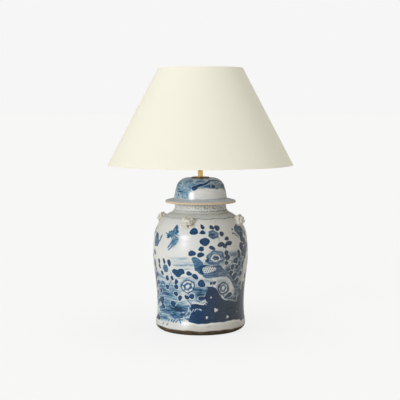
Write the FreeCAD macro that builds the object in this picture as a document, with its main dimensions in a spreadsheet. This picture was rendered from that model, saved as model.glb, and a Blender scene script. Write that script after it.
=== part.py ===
"""Table lamp made from a lidded stoneware jar, with a drum-waisted body, a domed lid and a coolie shade.

A hollow threaded rod stands on the axis. A nut under the jar's floor and the lampholder at the top
pull the stack together: jar, lid, brass cap, neck tube. The shade hangs on a gimbal, which sits on
the lampholder between two threaded rings. All lengths are millimetres. Z is up, the table is Z = 0
and the rod is the Z axis. -Y is the front of the lamp, and the lead leaves at the back, on +Y.
"""

import FreeCAD, Part
import math
import os

import Sketcher

# ---------------------------------------------------------------- sizes
# Radii are taken from the piece's own axis. Up the jar and the lid, each rise is counted from the
# point before it. On the lampholder and the bulb, a rise is counted from the piece's own seat.
SIZES = {
    # jar body, from the table up
    "felt_thickness": 1.5,
    "felt_inset": 2.0,
    "foot_inner_radius": 87.0,
    "foot_edge_radius": 100.5,
    "foot_flare_radius": 107.9,
    "foot_flare_rise": 4.8,
    "foot_roll_radius": 111.5,
    "foot_roll_rise": 10.7,
    "foot_neck_radius": 110.9,
    "foot_neck_rise": 5.5,
    "waist_foot_radius": 108.8,
    "waist_foot_rise": 10.5,
    "waist_radius": 107.4,
    "waist_rise": 33.0,
    "waist_top_radius": 109.0,
    "waist_top_rise": 34.0,
    "flank_radius": 112.3,
    "flank_rise": 31.0,
    "belly_foot_radius": 115.9,
    "belly_foot_rise": 30.0,
    "belly_radius": 117.3,
    "belly_rise": 31.0,
    "belly_top_radius": 114.6,
    "belly_top_rise": 37.0,
    "shoulder_radius": 103.0,
    "shoulder_rise": 35.0,
    "shoulder_top_radius": 77.0,
    "shoulder_top_rise": 24.0,
    "neck_root_radius": 68.0,
    "neck_root_rise": 5.5,
    "neck_radius": 63.8,
    "neck_foot_rise": 8.5,
    "neck_length": 12.5,
    "jar_wall": 7.0,
    "foot_recess_depth": 20.0,
    "floor_thickness": 8.0,
    "rod_hole_radius": 6.5,
    # animal-mask lugs on the shoulder
    "lug_rise": 8.5,
    "lug_seat_radius": 97.0,
    "lug_head_half_width": 14.5,
    "lug_head_half_depth": 14.0,
    "lug_head_half_height": 14.0,
    "lug_snout_radius": 7.0,
    "lug_snout_reach": 10.0,
    "lug_jaw_radius": 6.0,
    "lug_jaw_reach": 8.0,
    "lug_jaw_drop": 9.5,
    "lug_curl_radius": 5.5,
    "lug_curl_spread": 12.8,
    "lug_upper_curl_reach": 1.4,
    "lug_upper_curl_lift": 4.9,
    "lug_lower_curl_reach": 4.2,
    "lug_lower_curl_drop": 5.6,
    "lug_first_angle": -18.0,
    # lid
    "flange_radius": 87.2,
    "flange_thickness": 5.2,
    "flange_chamfer": 1.2,
    "dome_foot_radius": 65.6,
    "dome_foot_rise": 5.3,
    "dome_side_radius": 62.4,
    "dome_side_rise": 17.5,
    "dome_shoulder_radius": 57.9,
    "dome_shoulder_rise": 15.5,
    "dome_turn_radius": 51.0,
    "dome_turn_rise": 9.3,
    "crown_radius": 38.0,
    "crown_rise": 7.2,
    "lid_wall": 6.0,
    "collar_clearance": 1.0,
    "collar_depth": 12.0,
    "collar_wall": 6.0,
    # rod, nut and washers
    "rod_radius": 5.0,
    "rod_bore_radius": 3.7,
    "rod_tail": 1.6,
    "thread_clearance": 0.1,
    "cushion_radius": 17.0,
    "cushion_thickness": 2.0,
    "washer_radius": 19.0,
    "washer_thickness": 2.0,
    "spring_washer_radius": 9.0,
    "spring_washer_thickness": 1.4,
    "spring_washer_slit": 1.2,
    "nut_corner_radius": 9.8,
    "nut_thickness": 4.5,
    # lead outlet at the back of the foot
    "outlet_rise": 9.0,
    "outlet_seat_depth": 2.4,
    "grommet_shank_radius": 4.6,
    "grommet_bore_radius": 3.5,
    "grommet_flange_radius": 6.0,
    "grommet_flange_thickness": 2.5,
    "grommet_flange_margin": 0.3,
    "grommet_tail": 1.0,
    # brass on top of the lid
    "fibre_radius": 19.0,
    "fibre_thickness": 0.8,
    "cap_radius": 22.6,
    "cap_thickness": 1.8,
    "tube_radius": 6.35,
    "tube_bore_radius": 5.2,
    "tube_length": 80.0,
    # lampholder
    "rod_engagement": 9.0,
    "holder_entry_radius": 8.5,
    "holder_entry_rise": 7.0,
    "holder_dome_radius": 15.6,
    "holder_dome_rise": 10.0,
    "holder_radius": 19.0,
    "holder_shoulder_rise": 17.0,
    "holder_wall": 1.4,
    "holder_cap_rise": 34.0,
    "insert_clearance": 0.3,
    "insert_foot_rise": 20.0,
    "insert_flange_thickness": 2.0,
    "insert_top_thickness": 3.0,
    "insert_top_radius": 15.6,
    "sleeve_skirt_lap": 4.0,
    "sleeve_skirt_wall": 1.8,
    "sleeve_radius": 19.8,
    "sleeve_wall": 1.6,
    "sleeve_length": 30.0,
    "sleeve_lip_radius": 15.4,
    "sleeve_lip_thickness": 1.4,
    "grub_radius": 1.5,
    "grub_rise": 3.5,
    "terminal_spread": 11.0,
    "terminal_shank_radius": 1.6,
    "terminal_head_radius": 3.0,
    "terminal_head_thickness": 2.0,
    "terminal_length": 8.0,
    "contact_width": 5.0,
    "contact_thickness": 0.6,
    "contact_length": 11.0,
    "contact_button_radius": 2.0,
    "contact_button_rise": 2.4,
    # push-through switch bar
    "bar_radius": 2.5,
    "bar_clearance": 0.1,
    "bar_rise": 25.5,
    "bar_travel": 6.0,
    "bar_stop_gap": 0.3,
    "bar_knob_radius": 3.6,
    "bar_knob_length": 4.0,
    "bridge_length": 5.0,
    "bridge_width": 6.0,
    "bridge_clearance": 0.4,
    "leaf_thickness": 0.6,
    "leaf_width": 1.2,
    # screw thread of the lamp cap, as rings
    "thread_pitch": 3.63,
    "thread_crest_radius": 13.1,
    "thread_depth": 0.9,
    "thread_gap": 0.3,
    "thread_start": 0.6,
    "shell_wall": 0.5,
    "shell_floor": 0.6,
    "shell_floor_hole": 9.0,
    # rings that grip the gimbal
    "grip_ring_radius": 24.5,
    "grip_ring_thickness": 4.0,
    "grip_ring_lift": 1.0,
    # gimbal
    "gimbal_clearance": 0.1,
    "gimbal_side_gap": 0.05,
    "gimbal_radius": 24.5,
    "gimbal_thickness": 1.4,
    "ear_inner_reach": 25.6,
    "ear_thickness": 2.0,
    "ear_width": 8.0,
    "pivot_rise": 10.0,
    "pin_radius": 1.5,
    "pin_clearance": 0.08,
    "pin_tail": 1.0,
    "pin_head_radius": 2.6,
    "pin_head_thickness": 1.1,
    "pivot_washer_radius": 3.4,
    "pivot_washer_gap": 0.05,
    "hoop_bore_radius": 29.0,
    "hoop_wall": 1.5,
    "hoop_height": 9.0,
    # shade
    "shade_drop": 104.15,
    "shade_height": 238.0,
    "shade_bottom_radius": 228.6,
    "shade_top_radius": 103.6,
    "shade_card": 0.8,
    "wire_radius": 1.5,
    "hem_cover": 0.4,
    "hem_gap": 0.05,
    "arm_radius": 1.5,
    "arm_reach": 20.0,
    "arm_bend_radius": 9.0,
    "arm_angle": 90.0,
    # bulb
    "bulb_seat_gap": 0.1,
    "bulb_tip_radius": 4.6,
    "bulb_tip_thickness": 1.2,
    "bulb_insulator_thickness": 2.6,
    "bulb_cap_wall": 0.6,
    "bulb_cap_skirt": 4.0,
    "bulb_neck_lap": 6.0,
    "bulb_neck_rise": 5.0,
    "bulb_flare_radius": 17.0,
    "bulb_flare_rise": 17.0,
    "bulb_radius": 30.0,
    "bulb_middle_rise": 50.0,
    "bulb_glass_wall": 0.8,
    "stem_radius": 4.0,
    "stem_flare_height": 9.0,
    "stem_height": 32.0,
    "support_spread": 2.0,
    "support_radius": 0.6,
    "support_gap": 0.35,
    "filament_radius": 0.9,
    "filament_half_length": 15.0,
}
LUG_SIDES = ("front", "right", "back", "left")
THREAD_TURNS = 5
ARM_COUNT = 3


class Size:
    """A number together with the formula that gives it from the sheet."""

    def __init__(self, value, formula):
        self.value = value
        self.formula = formula

    def __add__(self, other):
        return Size(self.value + number(other), f"({self.formula} + {formula(other)})")

    def __sub__(self, other):
        return Size(self.value - number(other), f"({self.formula} - {formula(other)})")

    def __mul__(self, other):
        return Size(self.value * number(other), f"({self.formula} * {formula(other)})")

    def __truediv__(self, other):
        return Size(self.value / number(other), f"({self.formula} / {formula(other)})")

    def __neg__(self):
        return Size(-self.value, f"(0 - {self.formula})")


def number(size):
    return size.value if isinstance(size, Size) else float(size)


def formula(size):
    return size.formula if isinstance(size, Size) else repr(float(size))


def hypotenuse(a, b):
    return Size(math.hypot(a.value, b.value), f"sqrt({a.formula}^2 + {b.formula}^2)")


def leg(radius, half_chord):
    """How far the middle of a flat face of this half width stays inside a cylinder."""
    value = math.sqrt(radius.value**2 - half_chord.value**2)
    return Size(value, f"sqrt({radius.formula}^2 - {half_chord.formula}^2)")


def slope(across, up):
    """The angle from upright, in degrees, of a line that goes across and up."""
    value = math.degrees(math.atan2(across.value, up.value))
    return Size(value, f"atan2({across.formula}; {up.formula})")


doc = FreeCAD.newDocument("jar_lamp")
sheet = doc.addObject("Spreadsheet::Sheet", "sizes")


class Sheet:
    """The sheet's cells, each a Size under its alias."""


S = Sheet()
for row, (alias, value) in enumerate(SIZES.items(), start=1):
    sheet.set(f"A{row}", alias.replace("_", " "))
    sheet.set(f"B{row}", str(value))
    sheet.setAlias(f"B{row}", alias)
    setattr(S, alias, Size(float(value), f"sizes.{alias}"))
doc.recompute()

# ---------------------------------------------------------------- how pieces are made
X_AXIS = (1, 0, 0)
Y_AXIS = (0, 1, 0)
Z_AXIS = (0, 0, 1)
ZERO = S.jar_wall * 0
pieces = {}


def keep(node, piece):
    """Names the piece as one of the lamp's parts."""
    piece.Label = node
    pieces[node] = piece
    return piece


def bind(piece, prop, size):
    setattr(piece, prop, number(size))
    if isinstance(size, Size):
        piece.setExpression(prop, size.formula)


def place(piece, at=(0, 0, 0), axis=Z_AXIS, angle=0):
    """Puts the piece at a point, turned about an axis through it."""
    corner = FreeCAD.Vector(*[number(a) for a in at])
    rotation = FreeCAD.Rotation(FreeCAD.Vector(*axis), number(angle))
    piece.Placement = FreeCAD.Placement(corner, rotation)
    for letter, size in zip("xyz", at):
        if isinstance(size, Size):
            piece.setExpression(f"Placement.Base.{letter}", size.formula)
    if isinstance(angle, Size):
        piece.setExpression("Placement.Rotation.Angle", angle.formula)
    return piece


def solid(kind, name, at=(0, 0, 0), axis=Z_AXIS, angle=0, **sizes):
    """A primitive with its sizes bound to the sheet."""
    piece = doc.addObject("Part::" + kind, name)
    for prop, size in sizes.items():
        bind(piece, prop, size)
    return place(piece, at, axis, angle)


def cylinder(name, radius, height, at=(0, 0, 0), axis=Z_AXIS, angle=0):
    return solid("Cylinder", name, at, axis, angle, Radius=radius, Height=height)


def box(name, length, width, height, at):
    """A box with its middle on X and Y at the given point, and its underside at the point's height."""
    corner = (at[0] - length / 2, at[1] - width / 2, at[2])
    return solid("Box", name, corner, Length=length, Width=width, Height=height)


def cut(name, base, *tools):
    tool = tools[0]
    if len(tools) > 1:
        tool = joined(name + "_tools", *tools)
    piece = doc.addObject("Part::Cut", name + "_cut")
    piece.Base = base
    piece.Tool = tool
    return piece


def joined(name, *parts):
    piece = doc.addObject("Part::MultiFuse", name + "_whole")
    piece.Shapes = list(parts)
    return piece


def grouped(name, *parts):
    """Separate solids that share one node."""
    piece = doc.addObject("Part::Compound", name + "_group")
    piece.Links = list(parts)
    return piece


class Via(tuple):
    """A point that the arc between the corners before and after it goes through."""


def pin_point(sketch, geometry, end, point):
    """Holds one point of a sketch at (radius, height)."""
    for kind, axis_line, size in (("DistanceX", -2, point[0]), ("DistanceY", -1, point[1])):
        if not isinstance(size, Size):
            sketch.addConstraint(Sketcher.Constraint("PointOnObject", geometry, end, axis_line))
            continue
        held = Sketcher.Constraint(kind, -1, 1, geometry, end, size.value)
        index = sketch.addConstraint(held)
        sketch.setExpression(f"Constraints[{index}]", size.formula)


def vector(point):
    return FreeCAD.Vector(number(point[0]), number(point[1]), 0)


def draw_outline(sketch, outline):
    """A closed run of lines and arcs. The sheet holds each corner, and each arc's point on the way."""
    runs = []
    for point in outline:
        if isinstance(point, Via):
            runs[-1][1] = point
        else:
            runs.append([point, None])
    drawn = []
    for i, (start, via) in enumerate(runs):
        finish = runs[(i + 1) % len(runs)][0]
        if via is None:
            drawn.append((sketch.addGeometry(Part.LineSegment(vector(start), vector(finish)), False), 1, 2))
            continue
        arc = sketch.addGeometry(Part.Arc(vector(start), vector(via), vector(finish)), False)
        runs_forward = sketch.getPoint(arc, 1).distanceToPoint(vector(start)) < 1e-4
        drawn.append((arc, 1, 2) if runs_forward else (arc, 2, 1))
    for i, (line, start_end, finish_end) in enumerate(drawn):
        following, following_start, _ = drawn[(i + 1) % len(drawn)]
        sketch.addConstraint(Sketcher.Constraint("Coincident", line, finish_end, following, following_start))
        pin_point(sketch, line, start_end, runs[i][0])
        if runs[i][1] is not None:
            middle = sketch.addGeometry(Part.Point(vector(runs[i][1])), True)
            pin_point(sketch, middle, 1, runs[i][1])
            sketch.addConstraint(Sketcher.Constraint("PointOnObject", middle, 1, line))


def sketch_on(body, name, role):
    sketch = body.newObject("Sketcher::SketchObject", name)
    plane = next(f for f in body.Origin.OriginFeatures if f.Role == role)
    sketch.AttachmentSupport = [(plane, "")]
    sketch.MapMode = "FlatFace"
    return sketch


def turned(name, outline):
    """A piece turned about its Z axis from an outline of (radius, height) corners."""
    body = doc.addObject("PartDesign::Body", name + "_body")
    sketch = sketch_on(body, name + "_outline", "XZ_Plane")
    draw_outline(sketch, outline)
    turn = body.newObject("PartDesign::Revolution", name + "_turn")
    turn.Profile = sketch
    turn.ReferenceAxis = (sketch, ["V_Axis"])
    turn.Angle = 360
    sketch.Visibility = False
    return body


def tube(name, bore, radius, foot, top):
    return turned(name, [(bore, foot), (radius, foot), (radius, top), (bore, top)])


def disc(name, radius, foot, top):
    return turned(name, [(0, foot), (radius, foot), (radius, top), (0, top)])


# ---------------------------------------------------------------- heights that the stack gives
floor_foot = S.felt_thickness + S.foot_recess_depth
floor_top = floor_foot + S.floor_thickness
foot_flare = S.felt_thickness + S.foot_flare_rise
foot_roll = foot_flare + S.foot_roll_rise
foot_neck = foot_roll + S.foot_neck_rise
waist_foot = foot_neck + S.waist_foot_rise
waist = waist_foot + S.waist_rise
waist_top = waist + S.waist_top_rise
flank = waist_top + S.flank_rise
belly_foot = flank + S.belly_foot_rise
belly = belly_foot + S.belly_rise
belly_top = belly + S.belly_top_rise
shoulder = belly_top + S.shoulder_rise
shoulder_top = shoulder + S.shoulder_top_rise
neck_root = shoulder_top + S.neck_root_rise
jar_neck = neck_root + S.neck_foot_rise
rim = jar_neck + S.neck_length
flange_top = rim + S.flange_thickness
dome_foot = flange_top + S.dome_foot_rise
dome_side = dome_foot + S.dome_side_rise
dome_shoulder = dome_side + S.dome_shoulder_rise
dome_turn = dome_shoulder + S.dome_turn_rise
crown = dome_turn + S.crown_rise
cap_foot = crown + S.fibre_thickness
tube_foot = cap_foot + S.cap_thickness
holder = tube_foot + S.tube_length
rod_top = holder + S.rod_engagement
rod_hole = S.rod_radius + S.thread_clearance

# ---------------------------------------------------------------- jar body
# The jar is thrown in one piece: a recessed foot, a slight waist, a full belly and a short neck.
outside_below_neck = [
    (S.foot_edge_radius, S.felt_thickness),
    Via((S.foot_flare_radius, foot_flare)),
    (S.foot_roll_radius, foot_roll),
    Via((S.foot_neck_radius, foot_neck)),
    (S.waist_foot_radius, waist_foot),
    Via((S.waist_radius, waist)),
    (S.waist_top_radius, waist_top),
    Via((S.flank_radius, flank)),
    (S.belly_foot_radius, belly_foot),
    Via((S.belly_radius, belly)),
    (S.belly_top_radius, belly_top),
    Via((S.shoulder_radius, shoulder)),
    (S.shoulder_top_radius, shoulder_top),
    Via((S.neck_root_radius, neck_root)),
    (S.neck_radius, jar_neck),
    (S.neck_radius, rim),
]


def inside(radius, height, inward, down, wall=S.jar_wall):
    """A point of an inner face, given shares of the wall inward and down from the outer point."""
    return (radius - wall * inward, height - wall * down)


neck_bore = S.neck_radius - S.jar_wall
inside_from_rim = [
    (neck_bore, rim),
    (neck_bore, jar_neck),
    Via(inside(S.neck_root_radius, neck_root, 0.75, 0.66)),
    inside(S.shoulder_top_radius, shoulder_top, 0.35, 0.94),
    Via(inside(S.shoulder_radius, shoulder, 0.8, 0.6)),
    inside(S.belly_top_radius, belly_top, 1, 0),
    Via(inside(S.belly_radius, belly, 1, 0)),
    inside(S.belly_foot_radius, belly_foot, 1, 0),
    Via(inside(S.flank_radius, flank, 1, 0)),
    inside(S.waist_top_radius, waist_top, 1, 0),
    Via(inside(S.waist_radius, waist, 1, 0)),
    inside(S.waist_foot_radius, floor_top, 1, 0),
    (S.rod_hole_radius, floor_top),
    (S.rod_hole_radius, floor_foot),
    (S.foot_inner_radius, floor_foot),
    (S.foot_inner_radius, S.felt_thickness),
]
jar_blank = turned("jar_blank", outside_below_neck + inside_from_rim)

# The foot is drilled through at the back for the lead, with a flat seat for the grommet's flange.
outlet_seat = S.foot_flare_radius - S.outlet_seat_depth
outlet_height = S.felt_thickness + S.outlet_rise
foot_width = outlet_seat - S.foot_inner_radius
outlet_drill = cylinder(
    "outlet_drill",
    S.grommet_shank_radius,
    foot_width * 2,
    at=(0, outlet_seat - foot_width * 1.5, outlet_height),
    axis=X_AXIS,
    angle=-90,
)
outlet_flat = cylinder(
    "outlet_flat",
    S.grommet_flange_radius + S.grommet_flange_margin,
    foot_width,
    at=(0, outlet_seat, outlet_height),
    axis=X_AXIS,
    angle=-90,
)
keep("jar_body", cut("jar_body", jar_blank, outlet_drill, outlet_flat))
felt_bore = S.foot_inner_radius + S.felt_inset
felt_edge = S.foot_edge_radius - S.felt_inset
keep("foot_felt", tube("foot_felt", felt_bore, felt_edge, 0, S.felt_thickness))

# The lead leaves through a flanged grommet pressed into the hole. It is turned about its own axis,
# which runs outward along +Y from the flange's seat.
grommet_end = -(foot_width + S.grommet_tail)
lead_grommet = turned(
    "lead_grommet",
    [
        (S.grommet_bore_radius, grommet_end),
        (S.grommet_shank_radius, grommet_end),
        (S.grommet_shank_radius, 0),
        (S.grommet_flange_radius, 0),
        (S.grommet_flange_radius, S.grommet_flange_thickness),
        (S.grommet_bore_radius, S.grommet_flange_thickness),
    ],
)
keep("lead_grommet", place(lead_grommet, (0, outlet_seat, outlet_height), X_AXIS, -90))

# ---------------------------------------------------------------- animal-mask lugs
# Each lug is pressed from clay: a rounded head with a snout, a jaw and two curls, luted to the
# shoulder. It is shaped at the front of the jar and then turned to its own side.
lug_height = shoulder + S.lug_rise
shoulder_form = turned(
    "shoulder_form",
    outside_below_neck + [(0, rim), (0, S.felt_thickness)],
)
lug_head = solid(
    "Ellipsoid",
    "lug_head",
    at=(0, -S.lug_seat_radius, lug_height),
    Radius1=S.lug_head_half_height,
    Radius2=S.lug_head_half_width,
    Radius3=S.lug_head_half_depth,
    Angle1=-90,
    Angle2=90,
    Angle3=360,
)


def ball(name, radius, side, reach, lift):
    """A ball on the lug, set to one side, out from the lug's seat and up from its middle."""
    at = (side, -(S.lug_seat_radius + reach), lug_height + lift)
    return solid("Sphere", name, at, Radius=radius)


lug_balls = [
    ball("lug_snout", S.lug_snout_radius, 0, S.lug_snout_reach, ZERO),
    ball("lug_jaw", S.lug_jaw_radius, 0, S.lug_jaw_reach, -S.lug_jaw_drop),
]
for side in (-1, 1):
    spread = S.lug_curl_spread * side
    upper = (S.lug_upper_curl_reach, S.lug_upper_curl_lift)
    lower = (S.lug_lower_curl_reach, -S.lug_lower_curl_drop)
    lug_balls.append(ball(f"lug_upper_curl_{side}", S.lug_curl_radius, spread, *upper))
    lug_balls.append(ball(f"lug_lower_curl_{side}", S.lug_curl_radius, spread, *lower))
lug_form = joined("lug_form", lug_head, *lug_balls)
for quarter, side in enumerate(LUG_SIDES):
    lug = cut(f"mask_lug_{side}", lug_form, shoulder_form)
    keep(f"mask_lug_{side}", place(lug, angle=S.lug_first_angle + quarter * 90))

# ---------------------------------------------------------------- lid
# The lid's flange lies on the jar's rim and its collar drops inside the neck.
collar_radius = neck_bore - S.collar_clearance
collar_bore = collar_radius - S.collar_wall
lid = turned(
    "jar_lid",
    [
        (collar_bore, rim - S.collar_depth),
        (collar_radius, rim - S.collar_depth),
        (collar_radius, rim),
        (S.flange_radius - S.flange_chamfer, rim),
        (S.flange_radius, rim + S.flange_chamfer),
        (S.flange_radius, flange_top - S.flange_chamfer),
        (S.flange_radius - S.flange_chamfer, flange_top),
        (S.dome_foot_radius, dome_foot),
        Via((S.dome_side_radius, dome_side)),
        (S.dome_shoulder_radius, dome_shoulder),
        Via((S.dome_turn_radius, dome_turn)),
        (S.crown_radius, crown),
        (S.rod_hole_radius, crown),
        (S.rod_hole_radius, crown - S.lid_wall),
        inside(S.crown_radius, crown, 0.2, 1, S.lid_wall),
        Via(inside(S.dome_turn_radius, dome_turn, 0.7, 0.7, S.lid_wall)),
        inside(S.dome_shoulder_radius, dome_shoulder, 0.95, 0.3, S.lid_wall),
        Via(inside(S.dome_side_radius, dome_side, 1, 0, S.lid_wall)),
        inside(S.dome_foot_radius, dome_foot, 1, 0, S.lid_wall),
        (collar_bore, rim),
    ],
)
keep("jar_lid", lid)

# ---------------------------------------------------------------- rod, nut and washers
# From the floor down: a rubber cushion, a steel washer, a slit spring washer and the nut.
cushion_foot = floor_foot - S.cushion_thickness
washer_foot = cushion_foot - S.washer_thickness
spring_foot = washer_foot - S.spring_washer_thickness
nut_foot = spring_foot - S.nut_thickness
rod_foot = nut_foot - S.rod_tail
keep("threaded_rod", tube("threaded_rod", S.rod_bore_radius, S.rod_radius, rod_foot, rod_top))
keep("rubber_washer", tube("rubber_washer", rod_hole, S.cushion_radius, cushion_foot, floor_foot))
keep("steel_washer", tube("steel_washer", rod_hole, S.washer_radius, washer_foot, cushion_foot))
spring_ring = tube("spring_washer", rod_hole, S.spring_washer_radius, spring_foot, washer_foot)
spring_slit = box(
    "spring_slit",
    S.spring_washer_radius * 2,
    S.spring_washer_slit,
    S.spring_washer_thickness * 3,
    at=(S.spring_washer_radius, ZERO, spring_foot - S.spring_washer_thickness),
)
keep("spring_washer", cut("spring_washer", spring_ring, spring_slit))
nut_blank = solid("Prism", "nut_blank", Circumradius=S.nut_corner_radius, Height=S.nut_thickness)
base_nut = cut("base_nut", nut_blank, cylinder("nut_bore", rod_hole, S.nut_thickness))
keep("base_nut", place(base_nut, (0, 0, nut_foot)))

# ---------------------------------------------------------------- brass on the lid
keep("fibre_washer", tube("fibre_washer", rod_hole, S.fibre_radius, crown, cap_foot))
cap_edge = S.cap_thickness / 2
vase_cap = turned(
    "vase_cap",
    [
        (rod_hole, cap_foot),
        (S.cap_radius, cap_foot),
        (S.cap_radius, cap_foot + cap_edge),
        (S.cap_radius - cap_edge, tube_foot),
        (rod_hole, tube_foot),
    ],
)
keep("vase_cap", vase_cap)
keep("neck_tube", tube("neck_tube", S.tube_bore_radius, S.tube_radius, tube_foot, holder))

# ---------------------------------------------------------------- lampholder, cap and insert
# The cap screws on the rod down to the neck tube, and a grub screw locks it.
cap_top = holder + S.holder_cap_rise
cap_inner_radius = S.holder_radius - S.holder_wall
cap_shoulder = holder + S.holder_shoulder_rise
holder_cap_shell = turned(
    "holder_cap",
    [
        (rod_hole, holder),
        (S.holder_entry_radius, holder),
        (S.holder_entry_radius, holder + S.holder_entry_rise),
        Via((S.holder_dome_radius, holder + S.holder_dome_rise)),
        (S.holder_radius, cap_shoulder),
        (S.holder_radius, cap_top),
        (cap_inner_radius, cap_top),
        (cap_inner_radius, cap_shoulder),
        Via(inside(S.holder_dome_radius, holder + S.holder_dome_rise, 0.7, -0.7, S.holder_wall)),
        (S.holder_entry_radius, holder + S.holder_entry_rise + S.holder_wall),
        (rod_hole, holder + S.holder_entry_rise + S.holder_wall),
    ],
)
bar_height = holder + S.bar_rise
bar_hole_radius = S.bar_radius + S.bar_clearance
bar_hole = cylinder(
    "bar_hole",
    bar_hole_radius,
    S.holder_radius * 2.4,
    at=(-(S.holder_radius * 1.2), 0, bar_height),
    axis=Y_AXIS,
    angle=90,
)
grub_height = holder + S.grub_rise
grub_hole = cylinder(
    "grub_hole",
    S.grub_radius,
    S.holder_entry_radius * 2,
    at=(0, 0, grub_height),
    axis=X_AXIS,
    angle=-90,
)
keep("holder_cap", cut("holder_cap", holder_cap_shell, bar_hole, grub_hole))
grub = disc("cap_grub_screw", S.grub_radius, S.rod_radius, S.holder_entry_radius)
keep("cap_grub_screw", place(grub, (0, 0, grub_height), X_AXIS, -90))

# The insulating insert stands in the cap, hung by its flange on the cap's rim. The switch works in
# a pocket across it, and the centre contact and the screw shell stand on top of it.
insert_radius = cap_inner_radius - S.insert_clearance
flange_top = cap_top + S.insert_flange_thickness
insert_top = flange_top + S.insert_top_thickness
insert_foot = holder + S.insert_foot_rise
insert_blank = turned(
    "holder_insert",
    [
        (0, insert_foot),
        (insert_radius, insert_foot),
        (insert_radius, cap_top),
        (S.holder_radius, cap_top),
        (S.holder_radius, flange_top),
        (S.insert_top_radius, flange_top),
        (S.insert_top_radius, insert_top),
        (0, insert_top),
    ],
)
pocket_length = S.bridge_length + S.bar_travel + (S.bridge_clearance + S.leaf_thickness) * 2
pocket_width = S.bridge_width + S.bridge_clearance * 2
pocket_foot = bar_height - pocket_width / 2
pocket = box("pocket", pocket_length, pocket_width, pocket_width, (ZERO, ZERO, pocket_foot))
terminal_foot = insert_foot - S.terminal_head_thickness
terminal_holes = [
    cylinder(
        f"terminal_hole_{i}",
        S.terminal_shank_radius,
        S.terminal_length,
        at=(0, S.terminal_spread * i, insert_foot),
    )
    for i in (-1, 1)
]
keep("holder_insert", cut("holder_insert", insert_blank, pocket, bar_hole, *terminal_holes))
terminal_screws = [
    place(
        turned(
            f"terminal_screw_{i}",
            [
                (0, terminal_foot),
                (S.terminal_head_radius, terminal_foot),
                (S.terminal_head_radius, insert_foot),
                (S.terminal_shank_radius, insert_foot),
                (S.terminal_shank_radius, insert_foot + S.terminal_length),
                (0, insert_foot + S.terminal_length),
            ],
        ),
        (0, S.terminal_spread * i, 0),
    )
    for i in (-1, 1)
]
keep("terminal_screws", grouped("terminal_screws", *terminal_screws))
leaf_face = (pocket_length - S.leaf_thickness) / 2
leaves = [
    box(
        f"switch_leaf_{i}",
        S.leaf_thickness,
        S.leaf_width,
        S.leaf_width,
        (leaf_face, (pocket_width - S.leaf_width) * (i / 2), pocket_foot),
    )
    for i in (-1, 1)
]
keep("switch_leaves", grouped("switch_leaves", *leaves))

above_insert = (ZERO, ZERO, insert_top)
contact_strip = box("contact_strip", S.contact_length, S.contact_width, S.contact_thickness, above_insert)
contact_button = cylinder("contact_button", S.contact_button_radius, S.contact_button_rise, above_insert)
keep("centre_contact", joined("centre_contact", contact_strip, contact_button))


def thread_rings(crest, foot):
    """The corners of a run of ridges, from its foot up."""
    root = crest - S.thread_depth
    corners = []
    for ring in range(THREAD_TURNS):
        ring_foot = foot + S.thread_pitch * ring
        corners += [(root, ring_foot), (crest, ring_foot + S.thread_pitch / 2)]
    return corners + [(root, foot + S.thread_pitch * THREAD_TURNS)]


bulb_foot = insert_top + S.contact_button_rise + S.bulb_seat_gap
cap_shell_foot = bulb_foot + S.bulb_tip_thickness + S.bulb_insulator_thickness
thread_foot = cap_shell_foot + S.thread_start
shell_crest = S.thread_crest_radius + S.thread_gap
shell_inner = thread_rings(shell_crest, thread_foot)
shell_outer = [(radius + S.shell_wall, height) for radius, height in reversed(shell_inner)]
shell_root = shell_crest - S.thread_depth
screw_shell = turned(
    "screw_shell",
    [
        (S.shell_floor_hole, insert_top),
        (S.shell_floor_hole, insert_top + S.shell_floor),
        (shell_root, insert_top + S.shell_floor),
    ]
    + shell_inner
    + shell_outer
    + [(shell_root + S.shell_wall, insert_top)],
)
keep("screw_shell", screw_shell)

# ---------------------------------------------------------------- lampholder, sleeve and grip rings
# The sleeve screws over the cap's rim and clamps the insert's flange. Its outside is threaded for
# the two rings that grip the gimbal.
skirt_bore = S.holder_radius + S.thread_clearance
skirt_foot = cap_top - S.sleeve_skirt_lap
sleeve_foot = flange_top
sleeve_top = sleeve_foot + S.sleeve_length
sleeve_step = sleeve_foot + S.sleeve_wall
sleeve_bore = S.sleeve_radius - S.sleeve_wall
lip_foot = sleeve_top - S.sleeve_lip_thickness
sleeve = turned(
    "holder_sleeve",
    [
        (skirt_bore, skirt_foot),
        (skirt_bore + S.sleeve_skirt_wall, skirt_foot),
        (skirt_bore + S.sleeve_skirt_wall, sleeve_step),
        (S.sleeve_radius, sleeve_step),
        (S.sleeve_radius, sleeve_top),
        (S.sleeve_lip_radius, sleeve_top),
        (S.sleeve_lip_radius, lip_foot),
        (sleeve_bore, lip_foot),
        (sleeve_bore, sleeve_foot),
        (skirt_bore, sleeve_foot),
    ],
)
keep("holder_sleeve", sleeve)
grip_bore = S.sleeve_radius + S.thread_clearance
lower_grip_foot = sleeve_step + S.grip_ring_lift
lower_grip_top = lower_grip_foot + S.grip_ring_thickness
plate_foot = lower_grip_top + S.gimbal_side_gap
plate_top = plate_foot + S.gimbal_thickness
upper_grip_foot = plate_top + S.gimbal_side_gap
upper_grip_top = upper_grip_foot + S.grip_ring_thickness
for node, foot, top in (
    ("lower_grip_ring", lower_grip_foot, lower_grip_top),
    ("upper_grip_ring", upper_grip_foot, upper_grip_top),
):
    keep(node, tube(node, grip_bore, S.grip_ring_radius, foot, top))

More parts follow.
